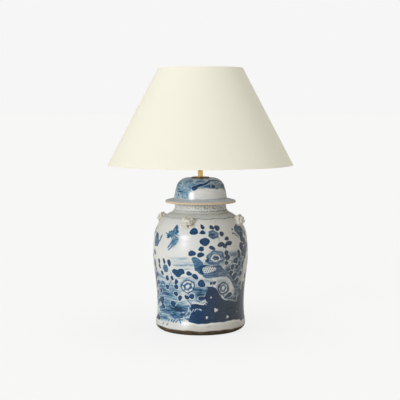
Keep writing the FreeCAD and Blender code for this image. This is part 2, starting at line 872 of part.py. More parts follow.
# ---------------------------------------------------------------- push-through switch bar
# The bar slides along X through the lampholder. At rest its left end is out and the lamp is off.
right_knob_foot = S.holder_radius + S.bar_stop_gap
left_knob_foot = right_knob_foot + S.bar_travel
bar_rod = turned(
    "bar_rod",
    [
        (0, -(left_knob_foot + S.bar_knob_length)),
        (S.bar_knob_radius, -(left_knob_foot + S.bar_knob_length)),
        (S.bar_knob_radius, -left_knob_foot),
        (S.bar_radius, -left_knob_foot),
        (S.bar_radius, right_knob_foot),
        (S.bar_knob_radius, right_knob_foot),
        (S.bar_knob_radius, right_knob_foot + S.bar_knob_length),
        (0, right_knob_foot + S.bar_knob_length),
    ],
)
keep("switch_bar", place(bar_rod, (0, 0, bar_height), Y_AXIS, 90))
bridge_block = box(
    "bridge_block",
    S.bridge_length,
    S.bridge_width,
    S.bridge_width,
    (-(S.bar_travel / 2), ZERO, bar_height - S.bridge_width / 2),
)
bridge_hole = cylinder(
    "bridge_hole",
    S.bar_radius,
    S.bar_travel + S.bridge_length * 2,
    at=(-(S.bar_travel + S.bridge_length), 0, bar_height),
    axis=Y_AXIS,
    angle=90,
)
keep("contact_bridge", cut("contact_bridge", bridge_block, bridge_hole))

# ---------------------------------------------------------------- gimbal
# A flat ring with two upturned ears on +X and -X. The hoop of the shade tilts on pins in the ears.
gimbal_bore = S.sleeve_radius + S.gimbal_clearance
pivot_height = plate_top + S.pivot_rise
ear_outer_reach = S.ear_inner_reach + S.ear_thickness
gimbal_disc = cylinder("gimbal_disc", S.gimbal_radius, S.gimbal_thickness, (0, 0, plate_foot))
gimbal_strip = box(
    "gimbal_strip",
    ear_outer_reach * 2,
    S.ear_width,
    S.gimbal_thickness,
    (ZERO, ZERO, plate_foot),
)
ear_blocks = [
    box(
        f"ear_{i}",
        S.ear_thickness,
        S.ear_width,
        pivot_height - plate_foot,
        ((ear_outer_reach - S.ear_thickness / 2) * i, ZERO, plate_foot),
    )
    for i in (-1, 1)
]
ear_rounds = [
    cylinder(
        f"ear_round_{i}",
        S.ear_width / 2,
        S.ear_thickness,
        at=((ear_outer_reach - S.ear_thickness / 2) * i - S.ear_thickness / 2, 0, pivot_height),
        axis=Y_AXIS,
        angle=90,
    )
    for i in (-1, 1)
]
gimbal_hole = cylinder(
    "gimbal_hole",
    gimbal_bore,
    S.gimbal_thickness * 3,
    (0, 0, plate_foot - S.gimbal_thickness),
)
pin_bore = cylinder(
    "pin_bore",
    S.pin_radius + S.pin_clearance,
    ear_outer_reach * 4,
    at=(-(ear_outer_reach * 2), 0, pivot_height),
    axis=Y_AXIS,
    angle=90,
)
gimbal_blank = joined("gimbal_blank", gimbal_disc, gimbal_strip, *ear_blocks, *ear_rounds)
keep("gimbal", cut("gimbal", gimbal_blank, gimbal_hole, pin_bore))
washer_bore = S.pin_radius + S.pin_clearance
washer_reach = leg(S.hoop_bore_radius, S.pivot_washer_radius) - S.pivot_washer_gap
pivot_washers = []
for i in (-1, 1):
    washer = tube(f"pivot_washer_{i}", washer_bore, S.pivot_washer_radius, ear_outer_reach, washer_reach)
    pivot_washers.append(place(washer, (0, 0, pivot_height), Y_AXIS, 90 * i))
keep("pivot_washers", grouped("pivot_washers", *pivot_washers))

# ---------------------------------------------------------------- shade carrier
# The hoop hangs on the two pins, and three wire arms run from it out and up to the top ring.
hoop_radius = S.hoop_bore_radius + S.hoop_wall
hoop_foot = pivot_height - S.hoop_height / 2
hoop_band = tube("hoop_band", S.hoop_bore_radius, hoop_radius, hoop_foot, hoop_foot + S.hoop_height)
hoop_holes = cylinder(
    "hoop_holes",
    S.pin_radius,
    hoop_radius * 2.4,
    at=(-(hoop_radius * 1.2), 0, pivot_height),
    axis=Y_AXIS,
    angle=90,
)
keep("shade_hoop", cut("shade_hoop", hoop_band, hoop_holes))
pins = [
    place(
        turned(
            f"pivot_pin_{i}",
            [
                (0, S.ear_inner_reach - S.pin_tail),
                (S.pin_radius, S.ear_inner_reach - S.pin_tail),
                (S.pin_radius, hoop_radius),
                (S.pin_head_radius, hoop_radius),
                (S.pin_head_radius, hoop_radius + S.pin_head_thickness),
                (0, hoop_radius + S.pin_head_thickness),
            ],
        ),
        (0, 0, pivot_height),
        Y_AXIS,
        90 * i,
    )
    for i in (-1, 1)
]
keep("pivot_pins", grouped("pivot_pins", *pins))

# ---------------------------------------------------------------- shade
# A cone of card. Its rims are rolled over wire rings that lie against the card's inside.
shade_bottom = pivot_height - S.shade_drop
shade_top = shade_bottom + S.shade_height
shade_run = S.shade_bottom_radius - S.shade_top_radius
shade_slant = hypotenuse(shade_run, S.shade_height)
card_width = S.shade_card * shade_slant / S.shade_height
shade_card = turned(
    "shade_card",
    [
        (S.shade_bottom_radius - card_width, shade_bottom),
        (S.shade_bottom_radius, shade_bottom),
        (S.shade_top_radius, shade_top),
        (S.shade_top_radius - card_width, shade_top),
    ],
)
keep("shade_card", shade_card)
hem_radius = S.wire_radius + S.hem_cover
hem_step_in = (hem_radius + S.hem_gap) * shade_slant / S.shade_height + card_width
hem_lean = hem_radius * shade_run / S.shade_height
bottom_ring_radius = S.shade_bottom_radius - hem_lean - hem_step_in
top_ring_radius = S.shade_top_radius + hem_lean - hem_step_in
bottom_ring_height = shade_bottom + hem_radius
top_ring_height = shade_top - hem_radius
for side, ring_radius, ring_height in (
    ("bottom", bottom_ring_radius, bottom_ring_height),
    ("top", top_ring_radius, top_ring_height),
):
    level = (0, 0, ring_height)
    wire = solid("Torus", f"{side}_wire", level, Radius1=ring_radius, Radius2=S.wire_radius)
    hem_solid = solid("Torus", f"{side}_hem_solid", level, Radius1=ring_radius, Radius2=hem_radius)
    hem_bore = solid("Torus", f"{side}_hem_bore", level, Radius1=ring_radius, Radius2=S.wire_radius)
    keep(f"{side}_wire_ring", wire)
    keep(f"{side}_hem", cut(f"{side}_hem", hem_solid, hem_bore))

# Each arm leaves the hoop level, bends and runs straight to the top ring's hem.
arm_start = (hoop_radius, pivot_height)
arm_corner = (hoop_radius + S.arm_reach, pivot_height)
arm_across = top_ring_radius - arm_corner[0]
arm_up = top_ring_height - pivot_height
arm_length = hypotenuse(arm_across, arm_up)
arm_stop = hem_radius + S.hem_gap
arm_end = (
    top_ring_radius - arm_across * arm_stop / arm_length,
    top_ring_height - arm_up * arm_stop / arm_length,
)


def draw_bent_path(sketch, start, corner, finish, radius):
    """A level line, an arc of the given radius and a line to the finish, each tangent to the next."""
    level, rising = vector(corner) - vector(start), vector(finish) - vector(corner)
    turn = level.getAngle(rising)
    tangent_length = radius.value * math.tan(turn / 2)
    level.normalize()
    rising.normalize()
    arc_start = vector(corner) - level * tangent_length
    arc_finish = vector(corner) + rising * tangent_length
    centre = arc_start + FreeCAD.Vector(0, radius.value, 0)
    to_corner = vector(corner) - centre
    to_corner.normalize()
    lines = [
        sketch.addGeometry(Part.LineSegment(vector(start), arc_start), False),
        sketch.addGeometry(Part.Arc(arc_start, centre + to_corner * radius.value, arc_finish), False),
        sketch.addGeometry(Part.LineSegment(arc_finish, vector(finish)), False),
    ]
    sketch.addConstraint(Sketcher.Constraint("Tangent", lines[0], 2, lines[1], 1))
    sketch.addConstraint(Sketcher.Constraint("Tangent", lines[1], 2, lines[2], 1))
    sketch.addConstraint(Sketcher.Constraint("Horizontal", lines[0]))
    pin_point(sketch, lines[0], 1, start)
    pin_point(sketch, lines[2], 2, finish)
    bend = sketch.addConstraint(Sketcher.Constraint("Radius", lines[1], radius.value))
    sketch.setExpression(f"Constraints[{bend}]", radius.formula)
    meeting = sketch.addGeometry(Part.Point(vector(corner)), True)
    pin_point(sketch, meeting, 1, corner)
    sketch.addConstraint(Sketcher.Constraint("PointOnObject", meeting, 1, lines[2]))


def bent_arm(name):
    body = doc.addObject("PartDesign::Body", name + "_body")
    path = sketch_on(body, name + "_path", "XZ_Plane")
    draw_bent_path(path, arm_start, arm_corner, arm_end, S.arm_bend_radius)
    section = sketch_on(body, name + "_section", "YZ_Plane")
    section.AttachmentOffset = FreeCAD.Placement(FreeCAD.Vector(0, 0, arm_start[0].value), FreeCAD.Rotation())
    section.setExpression("AttachmentOffset.Base.z", arm_start[0].formula)
    middle = FreeCAD.Vector(0, arm_start[1].value, 0)
    circle = sketch_circle(section, middle, S.arm_radius)
    pin_point(section, circle, 3, (0, arm_start[1]))
    doc.recompute()
    pipe = body.newObject("PartDesign::AdditivePipe", name + "_pipe")
    pipe.Profile = section
    pipe.Spine = (path, [])
    path.Visibility = False
    section.Visibility = False
    return body


def sketch_circle(sketch, middle, radius):
    circle = sketch.addGeometry(Part.Circle(middle, FreeCAD.Vector(0, 0, 1), radius.value), False)
    index = sketch.addConstraint(Sketcher.Constraint("Radius", circle, radius.value))
    sketch.setExpression(f"Constraints[{index}]", radius.formula)
    return circle


for i in range(ARM_COUNT):
    arm = bent_arm(f"shade_arm_{i + 1}")
    keep(f"shade_arm_{i + 1}", place(arm, angle=S.arm_angle + 360 * i / ARM_COUNT))

# ---------------------------------------------------------------- bulb
# From the foot up: contact tip, insulator, screw cap, and the glass with its stem and filament.
insulator_foot = bulb_foot + S.bulb_tip_thickness
cap_root = S.thread_crest_radius - S.thread_depth
keep("bulb_tip", disc("bulb_tip", S.bulb_tip_radius, bulb_foot, insulator_foot))
bulb_insulator = turned(
    "bulb_insulator",
    [
        (0, insulator_foot),
        (S.bulb_tip_radius, insulator_foot),
        (cap_root, cap_shell_foot),
        (0, cap_shell_foot),
    ],
)
keep("bulb_insulator", bulb_insulator)
cap_thread = thread_rings(S.thread_crest_radius, thread_foot)
cap_thread_top = thread_foot + S.thread_pitch * THREAD_TURNS
bulb_cap_top = cap_thread_top + S.bulb_cap_skirt
cap_bore = cap_root - S.bulb_cap_wall
bulb_cap = turned(
    "bulb_cap",
    [(cap_bore, cap_shell_foot), (cap_root, cap_shell_foot)]
    + cap_thread
    + [(cap_root, bulb_cap_top), (cap_bore, bulb_cap_top)],
)
keep("bulb_cap", bulb_cap)

neck_foot = bulb_cap_top - S.bulb_neck_lap
flare_height = bulb_cap_top + S.bulb_flare_rise
globe_middle = bulb_cap_top + S.bulb_middle_rise


def globe(radius, share_out, share_up):
    return (radius * share_out, globe_middle + radius * share_up)


# The globe's crown is a little flat, where the glass was sealed.
glass_inner = S.bulb_radius - S.bulb_glass_wall
crown_out = globe(S.bulb_radius, 0.0872, 0.9962)
crown_in = globe(glass_inner, 0.0872, 0.9962)
neck_inner = cap_bore - S.bulb_glass_wall
flare_inner = S.bulb_flare_radius - S.bulb_glass_wall
bulb_glass = turned(
    "bulb_glass",
    [
        (neck_inner, neck_foot),
        (cap_bore, neck_foot),
        (cap_bore, bulb_cap_top + S.bulb_neck_rise),
        (S.bulb_flare_radius, flare_height),
        globe(S.bulb_radius, 0.866, -0.5),
        Via(globe(S.bulb_radius, 1, 0)),
        globe(S.bulb_radius, 0.7071, 0.7071),
        Via(globe(S.bulb_radius, 0.4226, 0.9063)),
        crown_out,
        (0, crown_out[1]),
        (0, crown_in[1]),
        crown_in,
        Via(globe(glass_inner, 0.4226, 0.9063)),
        globe(glass_inner, 0.7071, 0.7071),
        Via(globe(glass_inner, 1, 0)),
        globe(glass_inner, 0.866, -0.5),
        (flare_inner, flare_height),
        (neck_inner, bulb_cap_top + S.bulb_neck_rise),
    ],
)
keep("bulb_glass", bulb_glass)
stem_top = neck_foot + S.stem_height
bulb_stem = turned(
    "bulb_stem",
    [
        (0, neck_foot),
        (neck_inner, neck_foot),
        (S.stem_radius, neck_foot + S.stem_flare_height),
        (S.stem_radius, stem_top),
        (0, stem_top),
    ],
)
keep("bulb_stem", bulb_stem)

# The filament lies along X, on two slanting wires that stand in the stem's top.
filament_height = globe_middle
support_across = S.filament_half_length - S.support_spread
support_foot = stem_top + S.support_gap
support_up = filament_height - S.filament_radius - S.support_gap - support_foot
supports = [
    cylinder(
        f"support_wire_{i}",
        S.support_radius,
        hypotenuse(support_across, support_up),
        at=(S.support_spread * i, 0, support_foot),
        axis=Y_AXIS,
        angle=slope(support_across, support_up) * i,
    )
    for i in (-1, 1)
]
filament = cylinder(
    "filament",
    S.filament_radius,
    S.filament_half_length * 2,
    at=(-S.filament_half_length, 0, filament_height),
    axis=Y_AXIS,
    angle=90,
)
keep("filament", filament)
keep("support_wires", grouped("support_wires", *supports))

# ---------------------------------------------------------------- check and write
doc.recompute()
faults = [o.Name for o in doc.Objects if {"Invalid", "Error"} & set(o.State)]
for node, piece in pieces.items():
    if piece.Shape.isNull() or not piece.Shape.isValid():
        faults.append(f"{node} has no sound shape")
if faults:
    raise SystemExit("not built: " + ", ".join(faults))
os.makedirs("parts", exist_ok=True)
for node, piece in pieces.items():
    piece.Shape.exportStep(f"parts/{node}.step")
print(len(pieces), "pieces, top at", round(shade_top.value, 2), "mm")
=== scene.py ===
import math

import bmesh
import bpy
import numpy as np
from mathutils import Matrix, Vector


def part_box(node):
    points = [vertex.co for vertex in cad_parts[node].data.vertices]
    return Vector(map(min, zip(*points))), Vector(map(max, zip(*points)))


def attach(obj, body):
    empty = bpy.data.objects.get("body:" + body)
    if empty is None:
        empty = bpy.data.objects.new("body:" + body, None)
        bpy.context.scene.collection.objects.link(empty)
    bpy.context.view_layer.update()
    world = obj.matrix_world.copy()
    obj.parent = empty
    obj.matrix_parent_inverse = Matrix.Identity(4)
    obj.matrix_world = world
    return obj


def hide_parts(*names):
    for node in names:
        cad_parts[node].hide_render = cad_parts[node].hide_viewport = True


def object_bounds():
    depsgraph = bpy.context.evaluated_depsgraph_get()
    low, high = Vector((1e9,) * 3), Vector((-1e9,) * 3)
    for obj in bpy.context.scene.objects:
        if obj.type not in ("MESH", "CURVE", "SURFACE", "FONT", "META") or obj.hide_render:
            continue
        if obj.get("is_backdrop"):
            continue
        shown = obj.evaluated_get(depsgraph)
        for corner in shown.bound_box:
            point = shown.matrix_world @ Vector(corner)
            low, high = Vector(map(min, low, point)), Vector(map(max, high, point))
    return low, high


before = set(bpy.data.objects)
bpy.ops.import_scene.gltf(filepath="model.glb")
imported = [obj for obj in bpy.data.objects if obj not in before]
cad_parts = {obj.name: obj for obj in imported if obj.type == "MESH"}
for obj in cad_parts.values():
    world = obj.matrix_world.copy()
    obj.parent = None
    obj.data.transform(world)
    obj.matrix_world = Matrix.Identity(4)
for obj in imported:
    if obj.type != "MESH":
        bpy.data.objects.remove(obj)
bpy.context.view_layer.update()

MM = 0.001
scene = bpy.context.scene
scene.view_settings.view_transform = "Standard"

# ---------------------------------------------------------------- studio
# A pale seamless table under one soft key light from the left, a weak light from above and an even
# room. The camera stands 2.7 m off, a little above the lamp's middle, and looks slightly down.
EYE = Vector((-0.0012, -2.7138, 0.5539))
LOOK_DOWN = math.radians(4.936)
PALE = 0.922


class Nodes:
    """A node tree that is filled by short calls, each with its inputs as numbers or as other outputs."""

    def __init__(self, tree):
        self.tree = tree

    def add(self, kind, inputs=(), **options):
        made = self.tree.nodes.new(kind)
        for option, value in options.items():
            setattr(made, option, value)
        for socket, value in dict(inputs).items():
            self.feed(made.inputs[socket], value)
        return made

    def feed(self, socket, value):
        if isinstance(value, bpy.types.NodeSocket):
            self.tree.links.new(value, socket)
        elif value is not None:
            socket.default_value = value

    def calc(self, operation, a, b=None):
        return self.add("ShaderNodeMath", {0: a, 1: b}, operation=operation).outputs[0]

    def plus(self, a, b):
        return self.calc("ADD", a, b)

    def less(self, a, b):
        return self.calc("SUBTRACT", a, b)

    def times(self, a, b):
        return self.calc("MULTIPLY", a, b)

    def most(self, a, b):
        return self.calc("MAXIMUM", a, b)

    def split(self, vector):
        return self.add("ShaderNodeSeparateXYZ", {0: vector}).outputs


class Finish(Nodes):
    """A material with one glossy or matte surface shader."""

    def __init__(self, name, **surface):
        self.material = bpy.data.materials.new(name)
        self.material.use_nodes = True
        super().__init__(self.material.node_tree)
        self.shader = self.tree.nodes["Principled BSDF"]
        self.where = self.add("ShaderNodeTexCoord").outputs["Object"]
        for socket, value in surface.items():
            self.feed(self.shader.inputs[socket.replace("_", " ")], value)

    def set(self, socket, value):
        self.feed(self.shader.inputs[socket], value)

    def stretched(self, x, y, z):
        """The place on the piece, stretched along its axes."""
        return self.add("ShaderNodeMapping", {"Vector": self.where, "Scale": (x, y, z)}).outputs["Vector"]

    def noise(self, scale, detail=3.0, rough=0.55, where=None, warp=0.0):
        inputs = {"Vector": where or self.where, "Scale": scale, "Detail": detail,
                  "Roughness": rough, "Distortion": warp}
        return self.add("ShaderNodeTexNoise", inputs).outputs["Fac"]

    def spots(self, scale):
        return self.add("ShaderNodeTexVoronoi", {"Vector": self.where, "Scale": scale}).outputs["Distance"]

    def rise(self, value, low, high, bottom=0.0, top=1.0):
        """Bottom where the value is below low, top where it is above high, and smooth between."""
        inputs = {"Value": value, "From Min": low, "From Max": high, "To Min": bottom, "To Max": top}
        return self.add("ShaderNodeMapRange", inputs, interpolation_type="SMOOTHSTEP").outputs["Result"]

    def line(self, value, low, high, bottom=0.0, top=1.0):
        inputs = {"Value": value, "From Min": low, "From Max": high, "To Min": bottom, "To Max": top}
        return self.add("ShaderNodeMapRange", inputs).outputs["Result"]

    def mix(self, share, a, b, blend="MIX"):
        made = self.add("ShaderNodeMix", data_type="RGBA", blend_type=blend)
        for socket, value in ((made.inputs[0], share), (made.inputs[6], a), (made.inputs[7], b)):
            if isinstance(value, tuple):
                value = (*value, 1.0)
            self.feed(socket, value)
        return made.outputs[2]

    def ramp(self, value, *stops):
        made = self.add("ShaderNodeValToRGB", {"Fac": value})
        band = made.color_ramp.elements
        while len(band) < len(stops):
            band.new(0.5)
        for element, (position, colour) in zip(band, stops):
            element.position = position
            element.color = (*colour, 1.0)
        return made.outputs["Color"]

    def measure(self, axis):
        """The place along X, Y or Z, in millimetres."""
        return self.calc("DIVIDE", self.split(self.where)[axis], MM)

    def mark(self, name):
        return self.add("ShaderNodeAttribute", attribute_name=name).outputs["Fac"]

    def bump(self, height, depth, strength=1.0):
        """Raises the surface by the height times the depth in metres."""
        inputs = {"Height": height, "Distance": depth, "Strength": strength}
        self.set("Normal", self.add("ShaderNodeBump", inputs).outputs["Normal"])

    def two_toned(self, noise, dark, pale, depth, low=0.3, high=0.7):
        """Runs from dark to pale with a noise, which also raises the surface."""
        self.set("Base Color", self.ramp(noise, (low, dark), (high, pale)))
        self.bump(noise, depth)


def seen_rays(tree):
    """1 for rays from the camera or through clear glass, and 0 for light and reflections."""
    rays = tree.add("ShaderNodeLightPath").outputs
    return tree.most(rays["Is Camera Ray"], rays["Is Transmission Ray"])


def mesh_object(name, mesh):
    made = bpy.data.objects.new(name, mesh)
    scene.collection.objects.link(made)
    return made


def sun(name, strength, colour, spread, azimuth, elevation):
    """A distant soft light. Azimuth 0 stands at the front, and turns towards +X."""
    lamp = bpy.data.lights.new(name, "SUN")
    lamp.energy = strength
    lamp.color = colour
    lamp.angle = math.radians(spread)
    a, e = math.radians(azimuth), math.radians(elevation)
    towards = Vector((math.sin(a) * math.cos(e), -math.cos(a) * math.cos(e), math.sin(e)))
    made = mesh_object(name, lamp)
    made.rotation_mode = "QUATERNION"
    made.rotation_quaternion = towards.to_track_quat("Z", "Y")


camera_data = bpy.data.cameras.new("studio_camera")
camera_data.sensor_width = 36.0
camera_data.lens = 99.0
camera = mesh_object("studio_camera", camera_data)
camera.location = EYE
camera.rotation_euler = (math.pi / 2 - LOOK_DOWN, 0, 0)
scene.camera = camera

sun("key_light", 1.62, (0.98, 0.99, 1.03), 18, -40, 13)
sun("top_light", 3.0, (1.0, 0.985, 0.92), 70, 0, 90)

room = bpy.data.worlds.new("room")
scene.world = room
room.use_nodes = True
sky = Nodes(room.node_tree)
sky.tree.nodes.clear()
dim = sky.add("ShaderNodeBackground", {"Color": (1.0, 0.99, 0.96, 1.0), "Strength": 0.30})
shine = sky.add("ShaderNodeBackground", {"Color": (1.0, 0.99, 0.97, 1.0), "Strength": 0.30})
pale = sky.add("ShaderNodeBackground", {"Color": (PALE, PALE, PALE, 1.0), "Strength": 1.0})
glossy = sky.add("ShaderNodeLightPath").outputs["Is Glossy Ray"]
unseen = sky.add("ShaderNodeMixShader", {0: glossy, 1: dim.outputs[0], 2: shine.outputs[0]})
either = sky.add("ShaderNodeMixShader", {0: seen_rays(sky), 1: unseen.outputs[0], 2: pale.outputs[0]})
sky.add("ShaderNodeOutputWorld", {"Surface": either.outputs[0]})

table_mesh = bpy.data.meshes.new("table")
reach = 60.0
corners = [(-reach, -reach, 0), (reach, -reach, 0), (reach, reach, 0), (-reach, reach, 0)]
table_mesh.from_pydata(corners, [], [(0, 1, 2, 3)])
table = mesh_object("table", table_mesh)
paper = Finish("table_paper")
plain = paper.add("ShaderNodeBsdfDiffuse", {"Color": (0.5, 0.5, 0.5, 1.0)})
grey = paper.add("ShaderNodeBsdfDiffuse", {"Color": (0.08, 0.08, 0.08, 1.0)})
glow = paper.add("ShaderNodeEmission", {"Color": (1, 1, 1, 1), "Strength": 0.822})
both = paper.add("ShaderNodeAddShader", {0: grey.outputs[0], 1: glow.outputs[0]})
seen = paper.add("ShaderNodeMixShader", {0: seen_rays(paper), 1: plain.outputs[0], 2: both.outputs[0]})
paper.feed(paper.tree.nodes["Material Output"].inputs["Surface"], seen.outputs[0])
table_mesh.materials.append(paper.material)
table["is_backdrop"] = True

# ---------------------------------------------------------------- foot felt
# A ring of green felt glued under the jar's bare foot, so that the stoneware doesn't scratch.


def dress(finish, *nodes):
    """Gives some of the model's own pieces their finish."""
    for node in nodes:
        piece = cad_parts[node]
        if not piece.material_slots:
            piece.data.materials.append(finish.material)
        for place in piece.material_slots:
            place.material = finish.material


felt = Finish("green_felt", Roughness=0.95, Sheen_Weight=0.4)
felt.two_toned(felt.noise(900, 4, 0.7, warp=1.5), (0.012, 0.045, 0.022), (0.045, 0.13, 0.07), 0.0004)
dress(felt, "foot_felt")

# ---------------------------------------------------------------- jar body
# Wheel-thrown stoneware in one piece: a bare brown foot, a slight waist, a full belly and a short
# neck. It is painted in cobalt under a pale grey glaze, with flowers, birds and a dark rock.
JAR_AROUND = 468
JAR_STEP = 1.9
JAR_COARSE_STEP = 24.0
WALL = 7.0
FELT_TOP, FLOOR_FOOT, FLOOR_TOP, RIM = 1.5, 21.5, 29.5, 314.5
ROD_HOLE_RADIUS, FOOT_INNER_RADIUS, NECK_RADIUS = 6.5, 87.0, 63.8
OUTLET_HEIGHT, OUTLET_SEAT, OUTLET_RADIUS, FLANGE_RECESS_RADIUS = 10.5, 105.5, 4.6, 6.3


def outward(mesh):
    """Turns the faces of closed shells outwards."""
    shape = bmesh.new()
    shape.from_mesh(mesh)
    bmesh.ops.recalc_face_normals(shape, faces=shape.faces)
    shape.to_mesh(mesh)
    shape.free()


def stands_for(piece, node, body):
    """Hands the piece over in place of one of the model's own."""
    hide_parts(node)
    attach(piece, body)


class Via(tuple):
    """A point that the arc between its neighbours goes through."""


def arc(start, via, finish, step):
    """Points from the start up to, but not with, the finish."""
    a, b, c = complex(*start), complex(*via), complex(*finish)
    w = (c - a) / (b - a)
    middle = a - (a - b) * (w - abs(w) ** 2) / (2j * w.imag)
    first = math.atan2((a - middle).imag, (a - middle).real)
    shares = [(p - middle) / (a - middle) for p in (b, c)]
    sweeps = [math.atan2(share.imag, share.real) for share in shares]
    turn = sweeps[1]
    if abs(sweeps[0]) > abs(turn) or sweeps[0] * turn < 0:
        turn -= math.copysign(2 * math.pi, turn)
    radius = abs(a - middle)
    count = max(2, round(abs(turn) * radius / step))
    angles = [first + turn * i / count for i in range(count)]
    return [(middle.real + radius * math.cos(t), middle.imag + radius * math.sin(t)) for t in angles]


def traced(corners, step):
    """The outline's points, about a step apart, with the last corner."""
    points = []
    i = 0
    while i < len(corners) - 1:
        if isinstance(corners[i + 1], Via):
            points += arc(corners[i], corners[i + 1], corners[i + 2], step)
            i += 2
            continue
        (r0, z0), (r1, z1) = corners[i], corners[i + 1]
        count = max(1, round(math.hypot(r1 - r0, z1 - z0) / step))
        points += [(r0 + (r1 - r0) * k / count, z0 + (z1 - z0) * k / count) for k in range(count)]
        i += 1
    return points + [tuple(corners[-1])]


def turned(name, outline, around, wobble=None):
    """A closed ring-shaped mesh, turned about Z from a closed outline of (radius, height)."""
    rings = np.array(outline)
    theta = np.linspace(0, 2 * math.pi, around, endpoint=False)
    radius = np.repeat(rings[:, :1], around, 1)
    height = np.repeat(rings[:, 1:], around, 1)
    if wobble:
        radius = radius + wobble(radius, height, theta)
    points = np.stack([radius * np.cos(theta), radius * np.sin(theta), height], -1).reshape(-1, 3) * MM
    i, j = np.meshgrid(np.arange(len(rings)), np.arange(around), indexing="ij")
    up, on = (i + 1) % len(rings), (j + 1) % around
    faces = np.stack([i * around + j, i * around + on, up * around + on, up * around + j], -1).reshape(-1, 4)
    mesh = bpy.data.meshes.new(name)
    mesh.from_pydata(points.tolist(), [], faces.tolist())
    return mesh_object(name, mesh)


def smoothed(piece, sharp_degrees):
    piece.data.shade_smooth()
    piece.data.set_sharp_from_angle(angle=math.radians(sharp_degrees))


def drilled(piece, *rods):
    """The piece with round holes cut by rods, each given as radius, start and finish."""
    for radius, start, finish in rods:
        start, finish = Vector(start) * MM, Vector(finish) * MM
        mesh = bpy.data.meshes.new("drill")
        shape = bmesh.new()
        along = (finish - start).to_track_quat("Z", "Y").to_matrix().to_4x4()
        place = Matrix.Translation((start + finish) / 2) @ along
        bmesh.ops.create_cone(shape, cap_ends=True, segments=48, radius1=radius * MM, radius2=radius * MM,
                              depth=(finish - start).length, matrix=place)
        shape.to_mesh(mesh)
        shape.free()
        drill = mesh_object("drill", mesh)
        hole = piece.modifiers.new("hole", "BOOLEAN")
        hole.operation = "DIFFERENCE"
        hole.solver = "EXACT"
        hole.object = drill
        bpy.context.view_layer.update()
        cut = bpy.data.meshes.new_from_object(piece.evaluated_get(bpy.context.evaluated_depsgraph_get()))
        piece.modifiers.remove(hole)
        cut.name = piece.data.name
        piece.data = cut
        bpy.data.objects.remove(drill)
    return piece


JAR_OUTSIDE = [
    (100.5, FELT_TOP), Via((107.9, 6.3)), (111.5, 17.0), Via((110.9, 22.5)), (108.8, 33.0),
    Via((107.4, 66.0)), (109.0, 100.0), Via((112.3, 131.0)), (115.9, 161.0), Via((117.3, 192.0)),
    (114.6, 229.0), Via((103.0, 264.0)), (77.0, 288.0), Via((68.0, 293.5)), (NECK_RADIUS, 302.0),
    (NECK_RADIUS, RIM),
]
JAR_INSIDE = [
    (NECK_RADIUS - WALL, RIM), (NECK_RADIUS - WALL, 302.0), (74.6, 281.4), (97.4, 259.8), (107.6, 229.0),
    (110.3, 192.0), (108.9, 161.0), (105.3, 131.0), (102.0, 100.0), (100.4, 66.0), (101.8, FLOOR_TOP),
    (ROD_HOLE_RADIUS, FLOOR_TOP), (ROD_HOLE_RADIUS, FLOOR_FOOT), (FOOT_INNER_RADIUS, FLOOR_FOOT),
    (FOOT_INNER_RADIUS, FELT_TOP),
]
jar_outline = traced(JAR_OUTSIDE, JAR_STEP)
jar_heights, jar_radii = [p[1] for p in jar_outline], [p[0] for p in jar_outline]


def thrown(radius, height, theta):
    """A hand-thrown pot is a hair out of round, with faint rings from the fingers."""
    oval = 0.3 * np.sin(2 * theta + 0.7) + 0.2 * np.sin(3 * theta + height / 60)
    rings = 0.03 * np.sin(height / 1.9 + 0.5 * np.sin(theta)) + 0.06 * np.sin(height / 5.3)
    on_wall = np.interp(height, [12, 30, 280, 300], [0, 1, 1, 0]) * (radius > 60)
    return (oval + rings) * on_wall


jar = turned("jar_body_painted", jar_outline + traced(JAR_INSIDE, JAR_COARSE_STEP), JAR_AROUND, thrown)
drilled(
    jar,
    (OUTLET_RADIUS, (0, 70, OUTLET_HEIGHT), (0, 125, OUTLET_HEIGHT)),
    (FLANGE_RECESS_RADIUS, (0, OUTLET_SEAT, OUTLET_HEIGHT), (0, 125, OUTLET_HEIGHT)),
)
smoothed(jar, 40)


